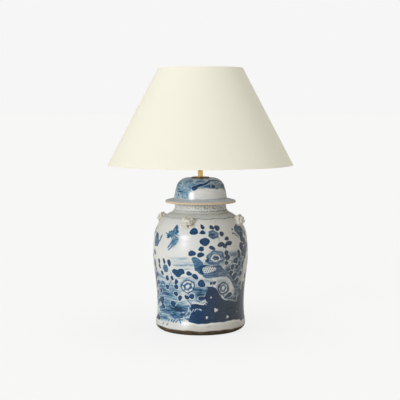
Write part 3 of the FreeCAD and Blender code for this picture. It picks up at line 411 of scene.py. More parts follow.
class Painting:
    """Brushwork on a turned pot, unrolled flat. Each layer holds the distance in millimetres from
    every point of the surface to the edge of that layer's nearest brush mark, less than 0 inside."""

    FAR = 40.0

    def __init__(self, mesh, radii, heights, middle_radius, lengths=None):
        places = np.empty(len(mesh.vertices) * 3, np.float32)
        mesh.vertices.foreach_get("co", places)
        x, y, z = places.reshape(-1, 3).T.astype(float) / MM
        self.mesh = mesh
        outside = np.hypot(x, y) > np.interp(z, heights, radii) - 2.5
        self.outer = np.nonzero((outside & (z > heights[0] - 0.1)) | (z > heights[-1] - 0.1))[0]
        x, y, z = x[self.outer], y[self.outer], z[self.outer]
        self.radii, self.heights, self.middle_radius = radii, heights, middle_radius
        self.lengths = heights if lengths is None else lengths
        inwards = np.maximum(radii[-1] - np.hypot(x, y), 0) * (z > heights[-1] - 0.1)
        z = np.interp(z, heights, self.lengths) + inwards
        self.girth = 2 * math.pi * middle_radius
        self.layers = {}
        # the hand is never quite steady, but it takes more care on the neck
        drift = np.arctan2(x, -y)
        shake = np.where(z > 298, 0.25, 1.0)
        astray = 0.7 * np.sin(z / 7.0 + 3 * np.sin(2 * drift)) + 0.4 * np.sin(z / 2.9 + 5 * drift)
        self.s = drift * middle_radius + shake * astray
        self.z = z + shake * (0.7 * np.sin(12 * drift + z / 23) + 0.4 * np.sin(31 * drift + z / 9))

    def layer(self, name):
        if name not in self.layers:
            self.layers[name] = np.full(len(self.s), self.FAR)
        return self.layers[name]

    def beside(self, turn, height):
        """The place at an azimuth in degrees, which is 0 at the front and rises to the right."""
        return math.radians(turn) * self.middle_radius, height

    def near(self, at, reach):
        across = (self.s - at[0] + self.girth / 2) % self.girth - self.girth / 2
        up = self.z - at[1]
        here = np.nonzero((np.abs(across) < reach) & (np.abs(up) < reach))[0]
        return here, across[here], up[here]

    def in_oval(self, at, long, wide, turn, reach):
        """The points near an oval, measured in its half-length and half-width."""
        here, u, v = self.near(at, reach)
        c, s = math.cos(math.radians(turn)), math.sin(math.radians(turn))
        return here, (u * c + v * s) / long, (v * c - u * s) / wide

    def lay(self, name, here, distance):
        layer = self.layer(name)
        layer[here] = np.minimum(layer[here], distance)

    def oval(self, name, at, long, wide, turn=0.0, lobes=3, depth=0.07, line=None):
        """A dab of the brush, a little lobed. With a line width, only its edge is drawn."""
        here, u, v = self.in_oval(at, long, wide, turn, max(long, wide) * 1.3 + 6)
        phase = at[0] * 0.37 + at[1] * 0.61
        edge = 1 + depth * np.sin(lobes * np.arctan2(v, u) + phase)
        distance = (np.hypot(u, v) - edge) * min(long, wide)
        self.lay(name, here, distance if line is None else np.abs(distance) - line / 2)

    def stroke(self, name, points, start, finish=None):
        """A brush stroke along smoothed points, from one width to another."""
        finish = start if finish is None else finish
        points = rounded_off(points, False)
        middle = np.mean(points, 0)
        reach = np.abs(points - middle).max() + start + finish + 6
        here, u, v = self.near(middle, reach)
        nearest = np.full(len(here), self.FAR)
        for k, (a, b) in enumerate(zip(points[:-1] - middle, points[1:] - middle)):
            t, off = beside_line(u, v, a, b)
            width = start + (finish - start) * (k + t) / (len(points) - 1)
            nearest = np.minimum(nearest, off - width / 2)
        self.lay(name, here, nearest)

    def patch(self, name, points):
        """A filled area with a smoothed edge."""
        points = rounded_off(points, True)
        middle = points.mean(0)
        here, u, v = self.near(middle, np.abs(points - middle).max() + 8)
        nearest = np.full(len(here), self.FAR)
        inside = np.zeros(len(here), bool)
        loop = points - middle
        for a, b in zip(loop, np.roll(loop, -1, 0)):
            nearest = np.minimum(nearest, beside_line(u, v, a, b)[1])
            crosses = (a[1] > v) != (b[1] > v)
            inside ^= crosses & (u < a[0] + (v - a[1]) * (b[0] - a[0]) / ((b[1] - a[1]) or 1e-9))
        self.lay(name, here, np.where(inside, -nearest, nearest))

    def wash(self, at, long, wide, turn=0.0, amount=0.5):
        """Thin pale colour with soft ends."""
        if "wash" not in self.layers:
            self.layers["wash"] = np.zeros(len(self.s))
        here, u, v = self.in_oval(at, long, wide, turn, max(long, wide) * 1.8)
        soft = amount * np.exp(-(u**4) - v**2 * 1.3)
        wet = self.layers["wash"]
        wet[here] = np.maximum(wet[here], soft) + 0.25 * np.minimum(wet[here], soft)

    def keep(self):
        """Writes the layers onto the mesh, one number for each point."""
        for name, values in self.layers.items():
            whole = np.full(len(self.mesh.vertices), 0.0 if name == "wash" else self.FAR, np.float32)
            whole[self.outer] = values
            made = self.mesh.attributes.new(name, "FLOAT", "POINT")
            made.data.foreach_set("value", whole)


def beside_line(u, v, a, b):
    """How far along the line from a to b the nearest place is, as a share, and how far off."""
    along = b - a
    t = np.clip(((u - a[0]) * along[0] + (v - a[1]) * along[1]) / (along @ along + 1e-9), 0, 1)
    return t, np.hypot(u - a[0] - t * along[0], v - a[1] - t * along[1])


def rounded_off(points, closed):
    """The corners cut twice, as a soft brush takes them."""
    points = np.array(points, float)
    for _ in range(2):
        following = np.roll(points, -1, 0)
        near, far = points * 0.75 + following * 0.25, points * 0.25 + following * 0.75
        cut = np.stack([near, far], 1).reshape(-1, 2)
        points = cut if closed else np.vstack([points[:1], cut[1:-3], points[-1:]])
    return points


class Board:
    """A flat layout of the picture as it is seen from the front, in even steps across from the axis
    and down from the top. A step is a brush's width."""

    def __init__(self, painting, step, top, forward):
        self.painting, self.step, self.top, self.forward = painting, step, top, forward

    def __call__(self, across, down):
        """Where a point of the layout falls on the pot: along the girth, and up the outline."""
        pot = self.painting
        eye = EYE / MM
        x, z = across * self.step, self.top - down * self.step
        seen_x, height = x, z
        for _ in range(8):
            radius = np.interp(height, pot.heights, pot.radii)
            y = -math.sqrt(max(radius**2 - min(abs(seen_x), radius * 0.995) ** 2, 0))
            nearer = (y - eye.y) / (-self.forward - eye.y)
            seen_x = eye.x + (x - eye.x) * nearer
            height = eye.z + (z - eye.z) * nearer
        return math.atan2(seen_x, -y) * pot.middle_radius, float(np.interp(height, pot.heights, pot.lengths))

    def path(self, points):
        return [self(across, down) for across, down in points]

    def dabs(self, layer, rows, **shape):
        """Ovals, each as across, down, half its length, half its width and its turn in degrees."""
        for across, down, long, wide, turn in rows:
            self.painting.oval(layer, self(across, down), long * self.step, wide * self.step, turn, **shape)

    def strokes(self, layer, start, finish, *paths):
        """Strokes that all run from one width in millimetres to the other."""
        for path in paths:
            self.painting.stroke(layer, self.path(path), start, finish)

    def patches(self, layer, *outlines):
        for outline in outlines:
            self.painting.patch(layer, self.path(outline))

    def washes(self, rows, share=1.0):
        """Washes, each as across, down, half its length, half its width, its turn and its amount."""
        for across, down, long, wide, turn, amount in rows:
            at = self(across, down)
            self.painting.wash(at, long * self.step, wide * self.step, turn, share * amount)


ink = Painting(jar.data, jar_radii, jar_heights, 112.0)
on_jar = Board(ink, 1.525, 293.8, 115.0)

# Loose leaves of the flowering branches, from the middle out to both edges.
on_jar.dabs("dark", [
    (-10.5, 26, 6.6, 5, -5), (3, 19.2, 4.2, 3, -45), (2.8, 28, 4.6, 3.1, 0), (7, 42.5, 7.8, 6.1, -8),
    (0.8, 53.5, 4.2, 3.6, 0), (-13.2, 60.3, 5.8, 4.4, 14), (0, 62.5, 5.3, 3.7, 0), (11, 72.5, 3, 3, 0),
    (33, 30, 4, 3.7, 0), (17.5, 19.2, 4.2, 3, -25), (26, 20.5, 5, 3.6, -30), (18.5, 52, 4.9, 3.3, -15),
    (40.8, 37.5, 3.8, 3.4, 0), (32, 46, 5.4, 3.8, 10), (44.5, 44.5, 5.6, 3.6, 0), (39, 48.5, 4, 3.2, 0),
    (40.5, 59, 3.9, 3.6, 0), (42, 66, 4.6, 4.6, 0), (41, 75, 3.4, 3.6, 90), (60, 64, 4.4, 3.6, 60),
    (55, 71, 5.2, 3.8, 20), (61, 76, 4.8, 3.6, 70), (50, 81, 3.2, 3.2, 0), (65, 79, 5, 3, 90),
    (-64.5, 71.5, 4.4, 2.8, -75), (-70, 77, 4.8, 4, -80), (-63.2, 80, 3.8, 2.6, -60),
    (-56.8, 72.5, 4.8, 2.6, -65), (-49, 75.5, 5.6, 3.4, -75), (-59.5, 90.5, 4.2, 3, -55),
    (-39, 89, 5.6, 4.2, 15), (-30, 88.5, 6.4, 4.2, -10), (-17.5, 92.5, 4.8, 3.2, -25),
    (-8, 97.5, 5.2, 4.2, -40), (1.5, 108.4, 6.3, 6.2, 0), (-52, 98.9, 4.4, 3.3, -65),
    (-44.5, 99.4, 3.9, 2.7, -60), (-38, 105.4, 4.2, 3.2, 80), (-37.5, 113.4, 4.2, 3.7, 0),
    (-51.5, 112.4, 4.1, 4, 0), (-38.5, 124.4, 4.3, 3.6, 0), (-32.5, 131, 4.6, 3.6, 80),
    (-22, 129.4, 4.2, 3.3, -20), (-13.5, 128, 4.8, 4.2, 30), (-42.5, 139.4, 5.6, 5.3, 0),
    (2.5, 132, 6.6, 3.6, 5), (-61, 133, 6.4, 4, -60), (17, 107, 2.6, 2.3, 90), (22.5, 107, 3, 2.5, 70),
    (44, 126.5, 7.8, 3.8, 30), (53, 96, 5, 4.6, 0), (57, 104, 5.6, 4.4, 40), (62, 92, 4.8, 4, 60),
    (48, 90, 4, 3, 20), (66.5, 73, 4.6, 3.2, 75), (69.5, 62, 4.6, 3, 75), (60.5, 63.6, 3.8, 3.6, 0),
    (53.3, 72, 3, 4.2, 0), (50.3, 81.6, 3.3, 4.2, 0), (56.9, 82.2, 3.6, 3.8, 0), (65.3, 79.8, 2.2, 5.5, 0),
    (54.5, 93.6, 4, 3, 0), (56.5, 74, 3, 2.4, 0),
])


def blossom(at, size, petals=6, turn=0.0):
    """A peony seen from the front: white petals between two rings of blue, round a pale heart."""
    def beside(reach, angle):
        return at[0] + size * reach * math.cos(angle), at[1] + size * reach * math.sin(angle)

    ink.wash(at, size * 1.2, size * 1.15, 0, 0.5)
    for k in range(petals):
        a = math.radians(turn + 360 * k / petals)
        ink.oval("spare", beside(0.75, a), size * 0.3, size * 0.14, math.degrees(a) + 90, 2, 0.1)
        ink.stroke("line", [beside(0.6, a + 0.5), beside(0.8, a + 0.6), beside(1, a + 0.5)], 1.0)
    ink.oval("line", at, size, size * 0.96, turn, petals, 0.04, 2.6)
    ink.oval("line", at, size * 0.54, size * 0.5, turn + 30, petals - 2, 0.07, 2.3)
    ink.oval("spare", at, size * 0.3, size * 0.27, turn)
    ink.oval("line", at, size * 1.3, size * 1.2, turn + 20, petals + 1, 0.06, 0.8)


# The large peonies, and looser blue flowers of which one has a white heart.
blossom(on_jar(-20, 112.3), 10.4 * on_jar.step, 6, 15)
blossom(on_jar(35.6, 115.6), 9.4 * on_jar.step, 5, 40)
on_jar.dabs("line", [(36.4, 115.9, 9, 8.8, 0)], depth=0.03, line=3.0)
LOOSE_FLOWERS = [(24, 67, 12.6, 9.6, 8), (20, 30.5, 6.6, 5, -8), (-54.2, 84, 4.2, 4.6, 0)]
on_jar.dabs("mid", LOOSE_FLOWERS, lobes=6, depth=0.09, line=5.0)
on_jar.washes([(across, down, long * 0.9, wide * 0.9, turn, 0.75)
               for across, down, long, wide, turn in LOOSE_FLOWERS])
on_jar.dabs("spare", [(23.6, 67.6, 6.2, 5, 0)], lobes=5, depth=0.08, line=3.0)
on_jar.dabs("line", [(24.2, 68.4, 3.52, 3.2, 0), (19.1, 31.2, 2.2, 2, 0), (-54.7, 84, 1.43, 1.3, 0)],
            depth=0.1, line=1.5)
on_jar.strokes(
    "line", 2.2, 1.4,
    [(14.3, 67.2), (19.1, 61.2), (27.5, 58.8)], [(34.7, 61.2), (36.5, 66.6), (32.9, 73.8)],
    [(14.9, 73.8), (22.1, 75.6), (29.3, 75)],
)
on_jar.patches("dark", [
    (-44.8, 90), (-42.4, 85.2), (-38.8, 84.6), (-35.2, 86.4), (-32.8, 84), (-28, 85.8), (-23.8, 91.2),
    (-24.5, 91.2), (-29.8, 93.2), (-32.4, 97.1), (-36.4, 98.1), (-39.7, 95.8), (-44.3, 90.2),
])

# A long-tailed bird looks down to the left. Its collar is chequered, and its tail sweeps down the
# right side.
on_jar.patches("mid", [
    (-14.5, 70), (-12.5, 66.2), (-7, 65.8), (-0.5, 69), (4.6, 74.6), (2.9, 77.4), (14.3, 79.8),
    (24.5, 79.8), (32.9, 79.8), (38.9, 88.9), (41.5, 96.8), (32.3, 97.5), (21, 98.8), (12.5, 99.4),
    (3.2, 97.5), (5.5, 96.1), (-2.1, 92.8), (-6.7, 87.6), (-9.4, 88.8), (-10, 79.8),
])
on_jar.patches("dark", [
    (-2.5, 79.8), (2.9, 77.4), (13.1, 79.2), (19.1, 80.4), (17.3, 81.6), (5.3, 80.7), (2.9, 85.2),
    (2.9, 88.8), (7.1, 93), (2.9, 94.1), (-2.5, 88.8),
])
on_jar.patches("spare", [
    (2.3, 84), (5.9, 81), (14.3, 81), (25.1, 82.5), (25.1, 86.4), (19.1, 89.4), (6.5, 92.4),
    (2.6, 88.8),
])
for row in range(4):
    chequers = [(3.2 + 3.5 * k + 1.75 * (row % 2), 82.2 + 2.9 * row + 0.14 * k) for k in range(7)]
    on_jar.dabs("line", [(across, down, 1.05, 0.95, 0) for across, down in chequers
                         if across < 25.5 - 1.6 * row])
on_jar.dabs("line", [(-8.6, 71.4, 0.9, 0.8, 0)])
for start, finish, *path in [
    (9, 6, (28.1, 80.4), (32.9, 84), (36.2, 87.6), (44.1, 93.5), (50.1, 102.7), (54, 112.6), (56.7, 123.2)),
    (5, 4, (41.5, 87.6), (48.1, 94.8), (54, 104.7), (58, 114), (60.6, 125.8)),
]:
    on_jar.strokes("mid", start, finish, path)
on_jar.strokes(
    "line", 2.4, 1.6,
    [(30.9, 88.2), (40.2, 94.2), (48.1, 102.7), (52.1, 111.3), (55.4, 123.2)],
    [(36.2, 86.2), (45.5, 92.8), (52.1, 102.1), (56, 110), (58.7, 120.6)],
    [(25.7, 85.2), (32.9, 88.2), (37.7, 94.1)], [(17.3, 91.8), (24.5, 90), (30.5, 88.8)],
    [(-8.2, 70.8), (-6.4, 77.4), (-3.4, 81)], [(-4, 72.6), (-2.2, 77.4), (-4, 84), (-1.6, 90)],
)
on_jar.strokes(
    "spare", 1.5, 1.0,
    [(33.6, 90.2), (41.5, 96.1), (47.4, 104.1)], [(40.2, 90.2), (46.8, 96.8), (51.4, 103.4)],
    [(28.1, 93.6), (35.3, 90), (38.9, 93.6)],
)

# Three small birds with spread wings fly over the first broad washes.
on_jar.washes([
    (-41, 42, 9, 6, 50, 0.5), (-52, 122, 30, 22, 0, 0.42), (-40, 148, 34, 12, 0, 0.5),
    (2, 122, 14, 12, 0, 0.5), (60, 84, 11, 24, 0, 0.6), (30, 92, 20, 7, 0, 0.35),
])
on_jar.patches(
    "mid",
    [(-36.7, 15.3), (-34.6, 18), (-34.9, 24), (-33.1, 26.4), (-34, 29.4), (-37.6, 31.8), (-41.2, 30),
     (-43.3, 27), (-41.5, 21), (-38.8, 17.4)],
    [(-55.6, 27), (-52, 26.7), (-49, 29.4), (-48.7, 24), (-46, 25.8), (-43.9, 22.5), (-41.5, 28.2),
     (-40.6, 31.2), (-43.6, 33.6), (-47.2, 34.2), (-49.6, 36.6), (-52.6, 36), (-50.2, 33.6),
     (-54.1, 31.8), (-50.2, 30.6)],
    [(-69.4, 31.2), (-67.3, 25.8), (-64.9, 28.2), (-64.6, 33.6), (-65.5, 38.4), (-63.7, 42),
     (-64.6, 44.4), (-68.8, 48.6), (-70.9, 49.2), (-70.9, 38.4)],
    [(-58.3, 29.7), (-59.8, 33.6), (-62.2, 39), (-64, 43.2), (-63.1, 37.2), (-61, 32.4)],
    [(55.1, 14.7), (57.8, 16.8), (59.3, 18), (61.7, 16.2), (64.7, 21), (65.9, 26.4), (65.3, 33.6),
     (62.9, 35.1), (59.3, 32.4), (56.9, 28.8), (55.1, 26.4), (52.7, 24), (52.1, 18)],
)
for start, finish, *path in [
    (6.5, 2.5, (-67, 46.5), (-63, 39), (-59, 31.8)), (3.2, 2.2, (-46, 33), (-44.5, 36.6), (-43.3, 40.8)),
    (3.2, 2, (-43.3, 32.4), (-41.5, 36.6), (-40, 40.8)), (3, 2, (-40.6, 31.8), (-38.2, 36), (-37, 40.2)),
    (3, 2, (-37.6, 31.2), (-35.2, 32.4), (-32.8, 32.7)),
    (5, 3.4, (-43.6, 40.8), (-47.2, 45.6), (-50.5, 50.7)),
    (5, 2.6, (-39.4, 44.4), (-44.8, 49.8), (-50.2, 54.7)),
    (3.4, 2, (-34.6, 37.8), (-37.6, 42.6), (-40.6, 46.2)),
    (3.4, 2.6, (-36.4, 36), (-38.8, 40.8), (-42.4, 43.2)),
    (3.4, 1.8, (52.7, 28.2), (56.9, 32.4), (60.2, 36.3)),
]:
    on_jar.strokes("mid", start, finish, path)
on_jar.strokes(
    "line", 2.4, 1.4,
    [(-36.7, 16.2), (-37.6, 22.8), (-38.8, 28.8)], [(-34.9, 25.2), (-37, 27.6), (-39.4, 30)],
    [(-46, 31.2), (-50.8, 33.6), (-52.9, 35.7)], [(-67, 27), (-67, 33.6), (-67.6, 37.8)],
    [(-65.5, 38.4), (-67, 43.2), (-70, 48)], [(55.1, 15.6), (58.7, 24), (61.7, 31.2)],
    [(59.9, 17.4), (62.9, 25.2), (63.5, 33.6)], [(52.7, 19.2), (56.3, 25.2), (59.3, 31.2)],
)
on_jar.strokes(
    "spare", 1.0, 0.8,
    [(56.9, 18), (59.9, 24), (62.3, 30)], [(-40, 21), (-38.8, 25.2), (-40, 28.8)],
    [(61.1, 19.8), (63.5, 26.4), (64.4, 31.2)],
)
on_jar.dabs("dark", [(across, down, size, size * 0.7, -20)
                     for across, down, size in [(49.4, 21.9, 1.8), (50.6, 27.9, 1.9)]])

# The dark rock and bank, with small stars of bare glaze and strokes of foam. The rock falls away
# round the right side, where a branch of dark leaves hangs over it.
on_jar.patches("deep", [
    (11, 113), (15, 112), (19, 112.5), (23.7, 115.3), (26.3, 118), (28.3, 123), (30.3, 127), (36, 132.5),
    (40, 135), (45.5, 134.5), (50, 134), (56, 137), (60, 128), (61, 118), (66, 115), (70, 135), (70, 163),
    (58.7, 164), (41.5, 167.4), (19, 170.7), (-0.7, 172), (-14, 171), (-20.6, 168), (-17.9, 164),
    (-16.6, 157.5), (-12.6, 152), (-16.6, 146), (-14.6, 141), (-6.7, 139.5), (-0.1, 141.5), (5.5, 143),
    (9, 137), (7, 130), (8, 124), (10.5, 119),
])
ink.patch("deep", [ink.beside(turn, height) for turn, height in [
    (60, 60), (65, 112), (70, 126), (75, 124), (79, 106), (86, 92), (92, 74), (101, 60), (110, 47),
    (121, 36), (126, 28), (95, 27), (60, 28),
]])
for turn, height, long, wide, lean in [
    (61, 233, 8, 11, 10), (68, 222, 10, 9, -20), (59, 212, 9, 11, 30), (70, 204, 11, 10, 0),
    (62, 196, 10, 9, -30), (78, 214, 9, 7, 40), (80, 232, 8, 6, -30), (72, 242, 7, 5, 60),
    (84, 200, 8, 6, 20), (66, 184, 7, 5, 10), (52, 199, 6, 7, 0), (90, 218, 7, 5, -10),
]:
    ink.oval("dark", ink.beside(turn, height), long, wide, lean)
on_jar.dabs("spare", [(across, down, size, size * 1.05, 20) for across, down, size in [
    (17.1, 130.1, 1.5), (23.7, 149.9, 3), (10.2, 162.1, 1.9), (42.5, 160.6, 2.4), (57, 152, 1.1),
]], depth=0.22)
on_jar.strokes(
    "spare", 1.6, 2.2,
    [(3.2, 137.1), (6.5, 135.7), (10.5, 138.4)], [(4.5, 142.3), (6.5, 139), (9.2, 142.3)],
    [(-0.7, 149.6), (0.6, 148.9), (1.9, 150.3)], [(-12.6, 152.9), (-11.3, 149.6), (-10, 148.3)],
    [(-8.7, 151.6), (-7.4, 148.9), (-5.4, 147.6)], [(-4.1, 149.6), (-2.7, 147.6), (-0.1, 148.9)],
    [(-18.6, 145.6), (-17.9, 148.9), (-18.6, 152.9)], [(-24.5, 156.2), (-23.2, 157.5), (-21.2, 154.9)],
    [(-29.8, 153.6), (-27.8, 154.9), (-25.8, 153.6)], [(-23.2, 136.4), (-19.9, 138.4), (-16.6, 142.3)],
    [(-14, 138.4), (-10, 137.1), (-4.7, 138.4)], [(-4.1, 137.1), (-0.8, 139), (3.2, 138.4)],
    [(-32.4, 162.1), (-29.8, 164.1), (-27.2, 163.5)], [(-27.2, 160.8), (-24.5, 162.8), (-21.2, 162.1)],
)

# Tufts at the left edge, blue grass in blunt strokes, and streaks of water.
on_jar.patches("dark", [
    (-63.5, 128.5), (-60.2, 129.8), (-57.5, 135.1), (-56.2, 139), (-59.5, 139), (-62.1, 136.4),
])
on_jar.patches("mid", [(-64.1, 141), (-56.9, 145), (-58.2, 147), (-63.5, 145.6)])
for start, finish, *path in [
    (3.4, 2.6, (-63.5, 149.6), (-54.2, 149.3), (-44.3, 151.2), (-35.1, 152.2)),
    (2.4, 1.6, (-64.1, 152.9), (-56.2, 154.2), (-48.3, 156.2)),
    (6, 5, (-39, 144.3), (-33.8, 145.6), (-24.5, 145), (-17.9, 143)),
    (5, 4, (-38.4, 147.6), (-31.1, 149.6), (-23.2, 148.9)),
    (3, 4, (-40.4, 151.6), (-37.7, 154.2), (-35.1, 157.5)),
    (4, 4, (-44.3, 156.2), (-43, 160.2), (-40.4, 163.5)),
    (4.6, 3.6, (-35.1, 152.2), (-36.4, 157.5), (-35.7, 162.8)),
    (4.4, 3.6, (-39, 156.2), (-38.4, 160.2), (-39, 164.1)),
    (2.2, 3.6, (-47.6, 164.1), (-48.6, 165.8), (-49.6, 167.8)),
    (2.2, 3.8, (-43, 163.5), (-44.3, 165.8), (-45.6, 168.1)),
    (2.2, 4, (-38.7, 164.1), (-40.4, 166.4), (-42.3, 168.7)),
    (2.2, 4, (-34.8, 164.8), (-36.4, 167.1), (-38, 169.4)),
    (2.2, 3.6, (-33.1, 164.8), (-31.8, 167.4), (-30.5, 169.7)),
    (3.6, 2.4, (-33.1, 164.1), (-30.5, 164.8), (-27.8, 166.1)),
    (3, 3, (-30.5, 160.2), (-27.2, 159.5), (-23.9, 160.2)),
    (4, 6, (-25.8, 160.8), (-23.2, 164.1), (-19.2, 164.8)),
    (4, 5, (-19.2, 143), (-16.6, 147.6), (-12.6, 152.2)),
    (3, 3, (-21.2, 151.6), (-19.2, 154.9), (-19.9, 158.2)),
    (6, 6, (-14.6, 141), (-9.3, 143), (-3.4, 144.3)), (5, 7, (-9.3, 115.9), (-3.4, 119.2), (5.5, 121.9)),
    (4, 5, (-7.4, 123.2), (-2.1, 125.2), (5.5, 125.8)), (6, 5, (11.1, 114), (9.2, 119.2), (7.2, 123.2)),
    (2.4, 2.4, (-21.2, 132.4), (-18.6, 136.4), (-15.3, 139)),
    (3, 3, (-3.4, 136.4), (0.6, 139), (5.5, 139)), (2.6, 2, (51.4, 128.5), (54.7, 129.8), (57.3, 128.5)),
    (2.6, 2.4, (49.4, 136.4), (53.4, 137.7), (57.3, 136.4)),
    (2.4, 2, (50.7, 143), (54.7, 142.3), (58.7, 144.3)),
    (3.4, 2.4, (33.6, 123.2), (36.2, 127.2), (38.9, 132.4)),
    (4, 3, (58.7, 108), (62.6, 111.3), (65.9, 110)), (7, 7, (60.6, 114.6), (62, 123.2), (61.3, 132.4)),
]:
    on_jar.strokes("mid", start, finish, path)
on_jar.washes([
    (-34, 68.5, 17, 2.4, 1, 0.22), (-27, 79, 19, 2.6, 2, 0.3), (-30, 74, 20, 4, 0, 0.14),
    (-25, 85, 12, 2, 0, 0.18), (-66, 93, 14, 5, -8, 0.34), (-56, 99, 12, 4, -8, 0.22),
    (-62, 107, 15, 5, -8, 0.36), (-60, 117, 16, 5, -8, 0.34), (-52, 123, 18, 4, -12, 0.3),
    (-60, 130, 14, 4, -8, 0.26), (-66, 138, 9, 6, 0, 0.45), (-50, 136, 14, 4, -8, 0.24),
    (-56, 126, 34, 42, 0, 0.2), (-56, 150, 20, 5, -4, 0.5), (-60, 160, 20, 6, -2, 0.46),
    (-36, 147, 14, 6, 0, 0.58), (-38, 158, 16, 9, 0, 0.56), (-26, 148, 14, 6, 0, 0.55),
    (-22, 157, 10, 5, 0, 0.5), (-14, 134, 12, 4, 0, 0.25), (-30, 138, 12, 3, 0, 0.3),
    (-4, 119, 10, 6, 0, 0.5), (2, 127, 10, 5, 0, 0.55), (0, 134, 10, 4, 0, 0.45), (-4, 103, 10, 4, 0, 0.2),
    (-20, 99, 10, 3, 0, 0.18), (-44, 112, 10, 8, 0, 0.2), (10, 104, 8, 4, 0, 0.25),
    (50, 62, 14, 5, 0, 0.34), (58, 72, 14, 12, 0, 0.46), (60, 90, 12, 14, 0, 0.4),
    (47, 84, 10, 8, 0, 0.46), (40, 92, 10, 6, -20, 0.4), (57, 120, 9, 16, 0, 0.5),
    (54, 138, 10, 12, 0, 0.62), (46, 131, 8, 5, 0, 0.55), (32, 104, 10, 4, 0, 0.16),
    (28, 122, 5, 6, 0, 0.3), (20, 78, 16, 6, 0, 0.36), (38, 74, 8, 6, 0, 0.3),
], 1.25)

# Thin stems join the leaves to the branches.
on_jar.strokes(
    "line", 1.5, 1.1,
    [(-44, 99), (-46, 92), (-50, 85), (-55, 78)], [(-50, 112), (-45, 103), (-44, 96)],
    [(-38, 124), (-30, 121)], [(-20, 100), (-30, 98), (-42, 101)], [(-8, 98), (-14, 96), (-20, 103)],
    [(2, 30), (-4, 28), (-9, 27)], [(5, 50), (2, 56), (0, 61)], [(26, 34), (29, 37), (30, 40)],
    [(38, 56), (34, 52), (31, 50)], [(40, 50), (40, 58), (42, 72)],
    [(44, 70), (52, 74), (60, 70), (64, 60)], [(-22, 130), (-18, 124)],
    [(8, 100), (14, 104), (20, 108), (28, 108)], [(36, 128), (40, 128)], [(19, 112), (20, 106), (17, 100)],
    [(60, 58), (66, 62), (70, 76)], [(54, 84), (60, 88), (66, 92)],
)

# The picture goes on round the pot, from the right to the left: more branches, birds and the bank.
brush = np.random.default_rng(11)
for k, turn in enumerate(np.linspace(66, 298, 15)):
    s, up = ink.beside(turn, 62 + 60 * (k % 2) + brush.uniform(-10, 10))
    root = (s, up)
    bend = (s + brush.uniform(-14, 14), up + 38)
    tip = (s + brush.uniform(-22, 22), up + 82)
    ink.stroke("line", [root, bend, tip], 2.4, 1.2)
    for j in range(9):
        share = (j + 0.5) / 9
        at = np.array(root) * (1 - share) + np.array(tip) * share
        at = at + np.array([(-1) ** j * brush.uniform(7, 15), brush.uniform(-4, 4)])
        ink.oval("dark", at, brush.uniform(5.5, 9.5), brush.uniform(4.5, 6.5), brush.uniform(-50, 50))
    if k % 2:
        blossom((s + brush.uniform(-12, 12), up + 20), brush.uniform(13, 18), 7, 20 * k)
    else:
        ink.oval("mid", (s + 14, up + 58), 11, 9, 30 * k, lobes=6, depth=0.1)
        ink.oval("spare", (s + 14, up + 58), 3, 2.4)
    for _ in range(3):
        at = (s + brush.uniform(-20, 20), brush.uniform(40, 120))
        long, wide = brush.uniform(18, 34), brush.uniform(4, 9)
        ink.wash(at, long, wide, brush.uniform(-8, 8), brush.uniform(0.3, 0.6))
for turn in (100, 215, 275):
    s, up = ink.beside(turn, 236)
    ink.oval("dark", (s, up), 6, 4.5, 30)
    for lean in (20, 50, 80, 115, 190, 205):
        across, rise = 12 * math.cos(math.radians(lean)), 12 * math.sin(math.radians(lean))
        ink.stroke("mid", [(s, up), (s + across, up + rise + 2), (s + 2 * across, up + 2 * rise)], 6, 2.5)
bank = [ink.beside(turn, 34 + 9 * math.sin(turn / 9) + 5 * math.sin(turn / 4)) for turn in range(62, 300, 6)]
for start in range(0, len(bank) - 1, 4):
    hill = bank[start:start + 5]
    shore = [(s, 27 + 1.2 * math.sin(s / 30)) for s, _ in reversed(hill)]
    ink.patch("deep", hill + shore)

# A band of keys runs round the neck, and thin rings divide it from the shoulder. Drops of iron stain
# the edge of the glaze at the foot.
KEY_FOOT, KEY_LIFT, KEY_COUNT = 299.2, 2.2, 18
KEY = [(0.5, 0), (0.5, 5.8), (6.6, 5.8), (6.6, 1.9), (2.9, 1.9), (2.9, 3.8), (4.4, 3.8)]
for k in range(KEY_COUNT):
    unit = ink.girth / KEY_COUNT / 8
    corners = [((8 * k + across) * unit, KEY_FOOT + up * KEY_LIFT) for across, up in KEY]
    for a, b in zip(corners[:-1], corners[1:]):
        ink.stroke("fret", [a, b, b], 2.0)
for height, width in ((296.6, 1.8), (315.6, 1.2), (290.8, 1.0), (280.8, 1.4)):
    here = np.abs(ink.z - height) < 8
    ink.lay("fret", np.nonzero(here)[0], np.abs(ink.z[here] - height) - width / 2)
on_jar.dabs("iron", [(-58.5, 170.6, 2.4, 1.1, 35), (-52, 172.6, 2.6, 1.1, 35), (12.5, 176.4, 3, 1.1, 20),
                     (59, 171.2, 2, 1.1, 40)])
ink.keep()


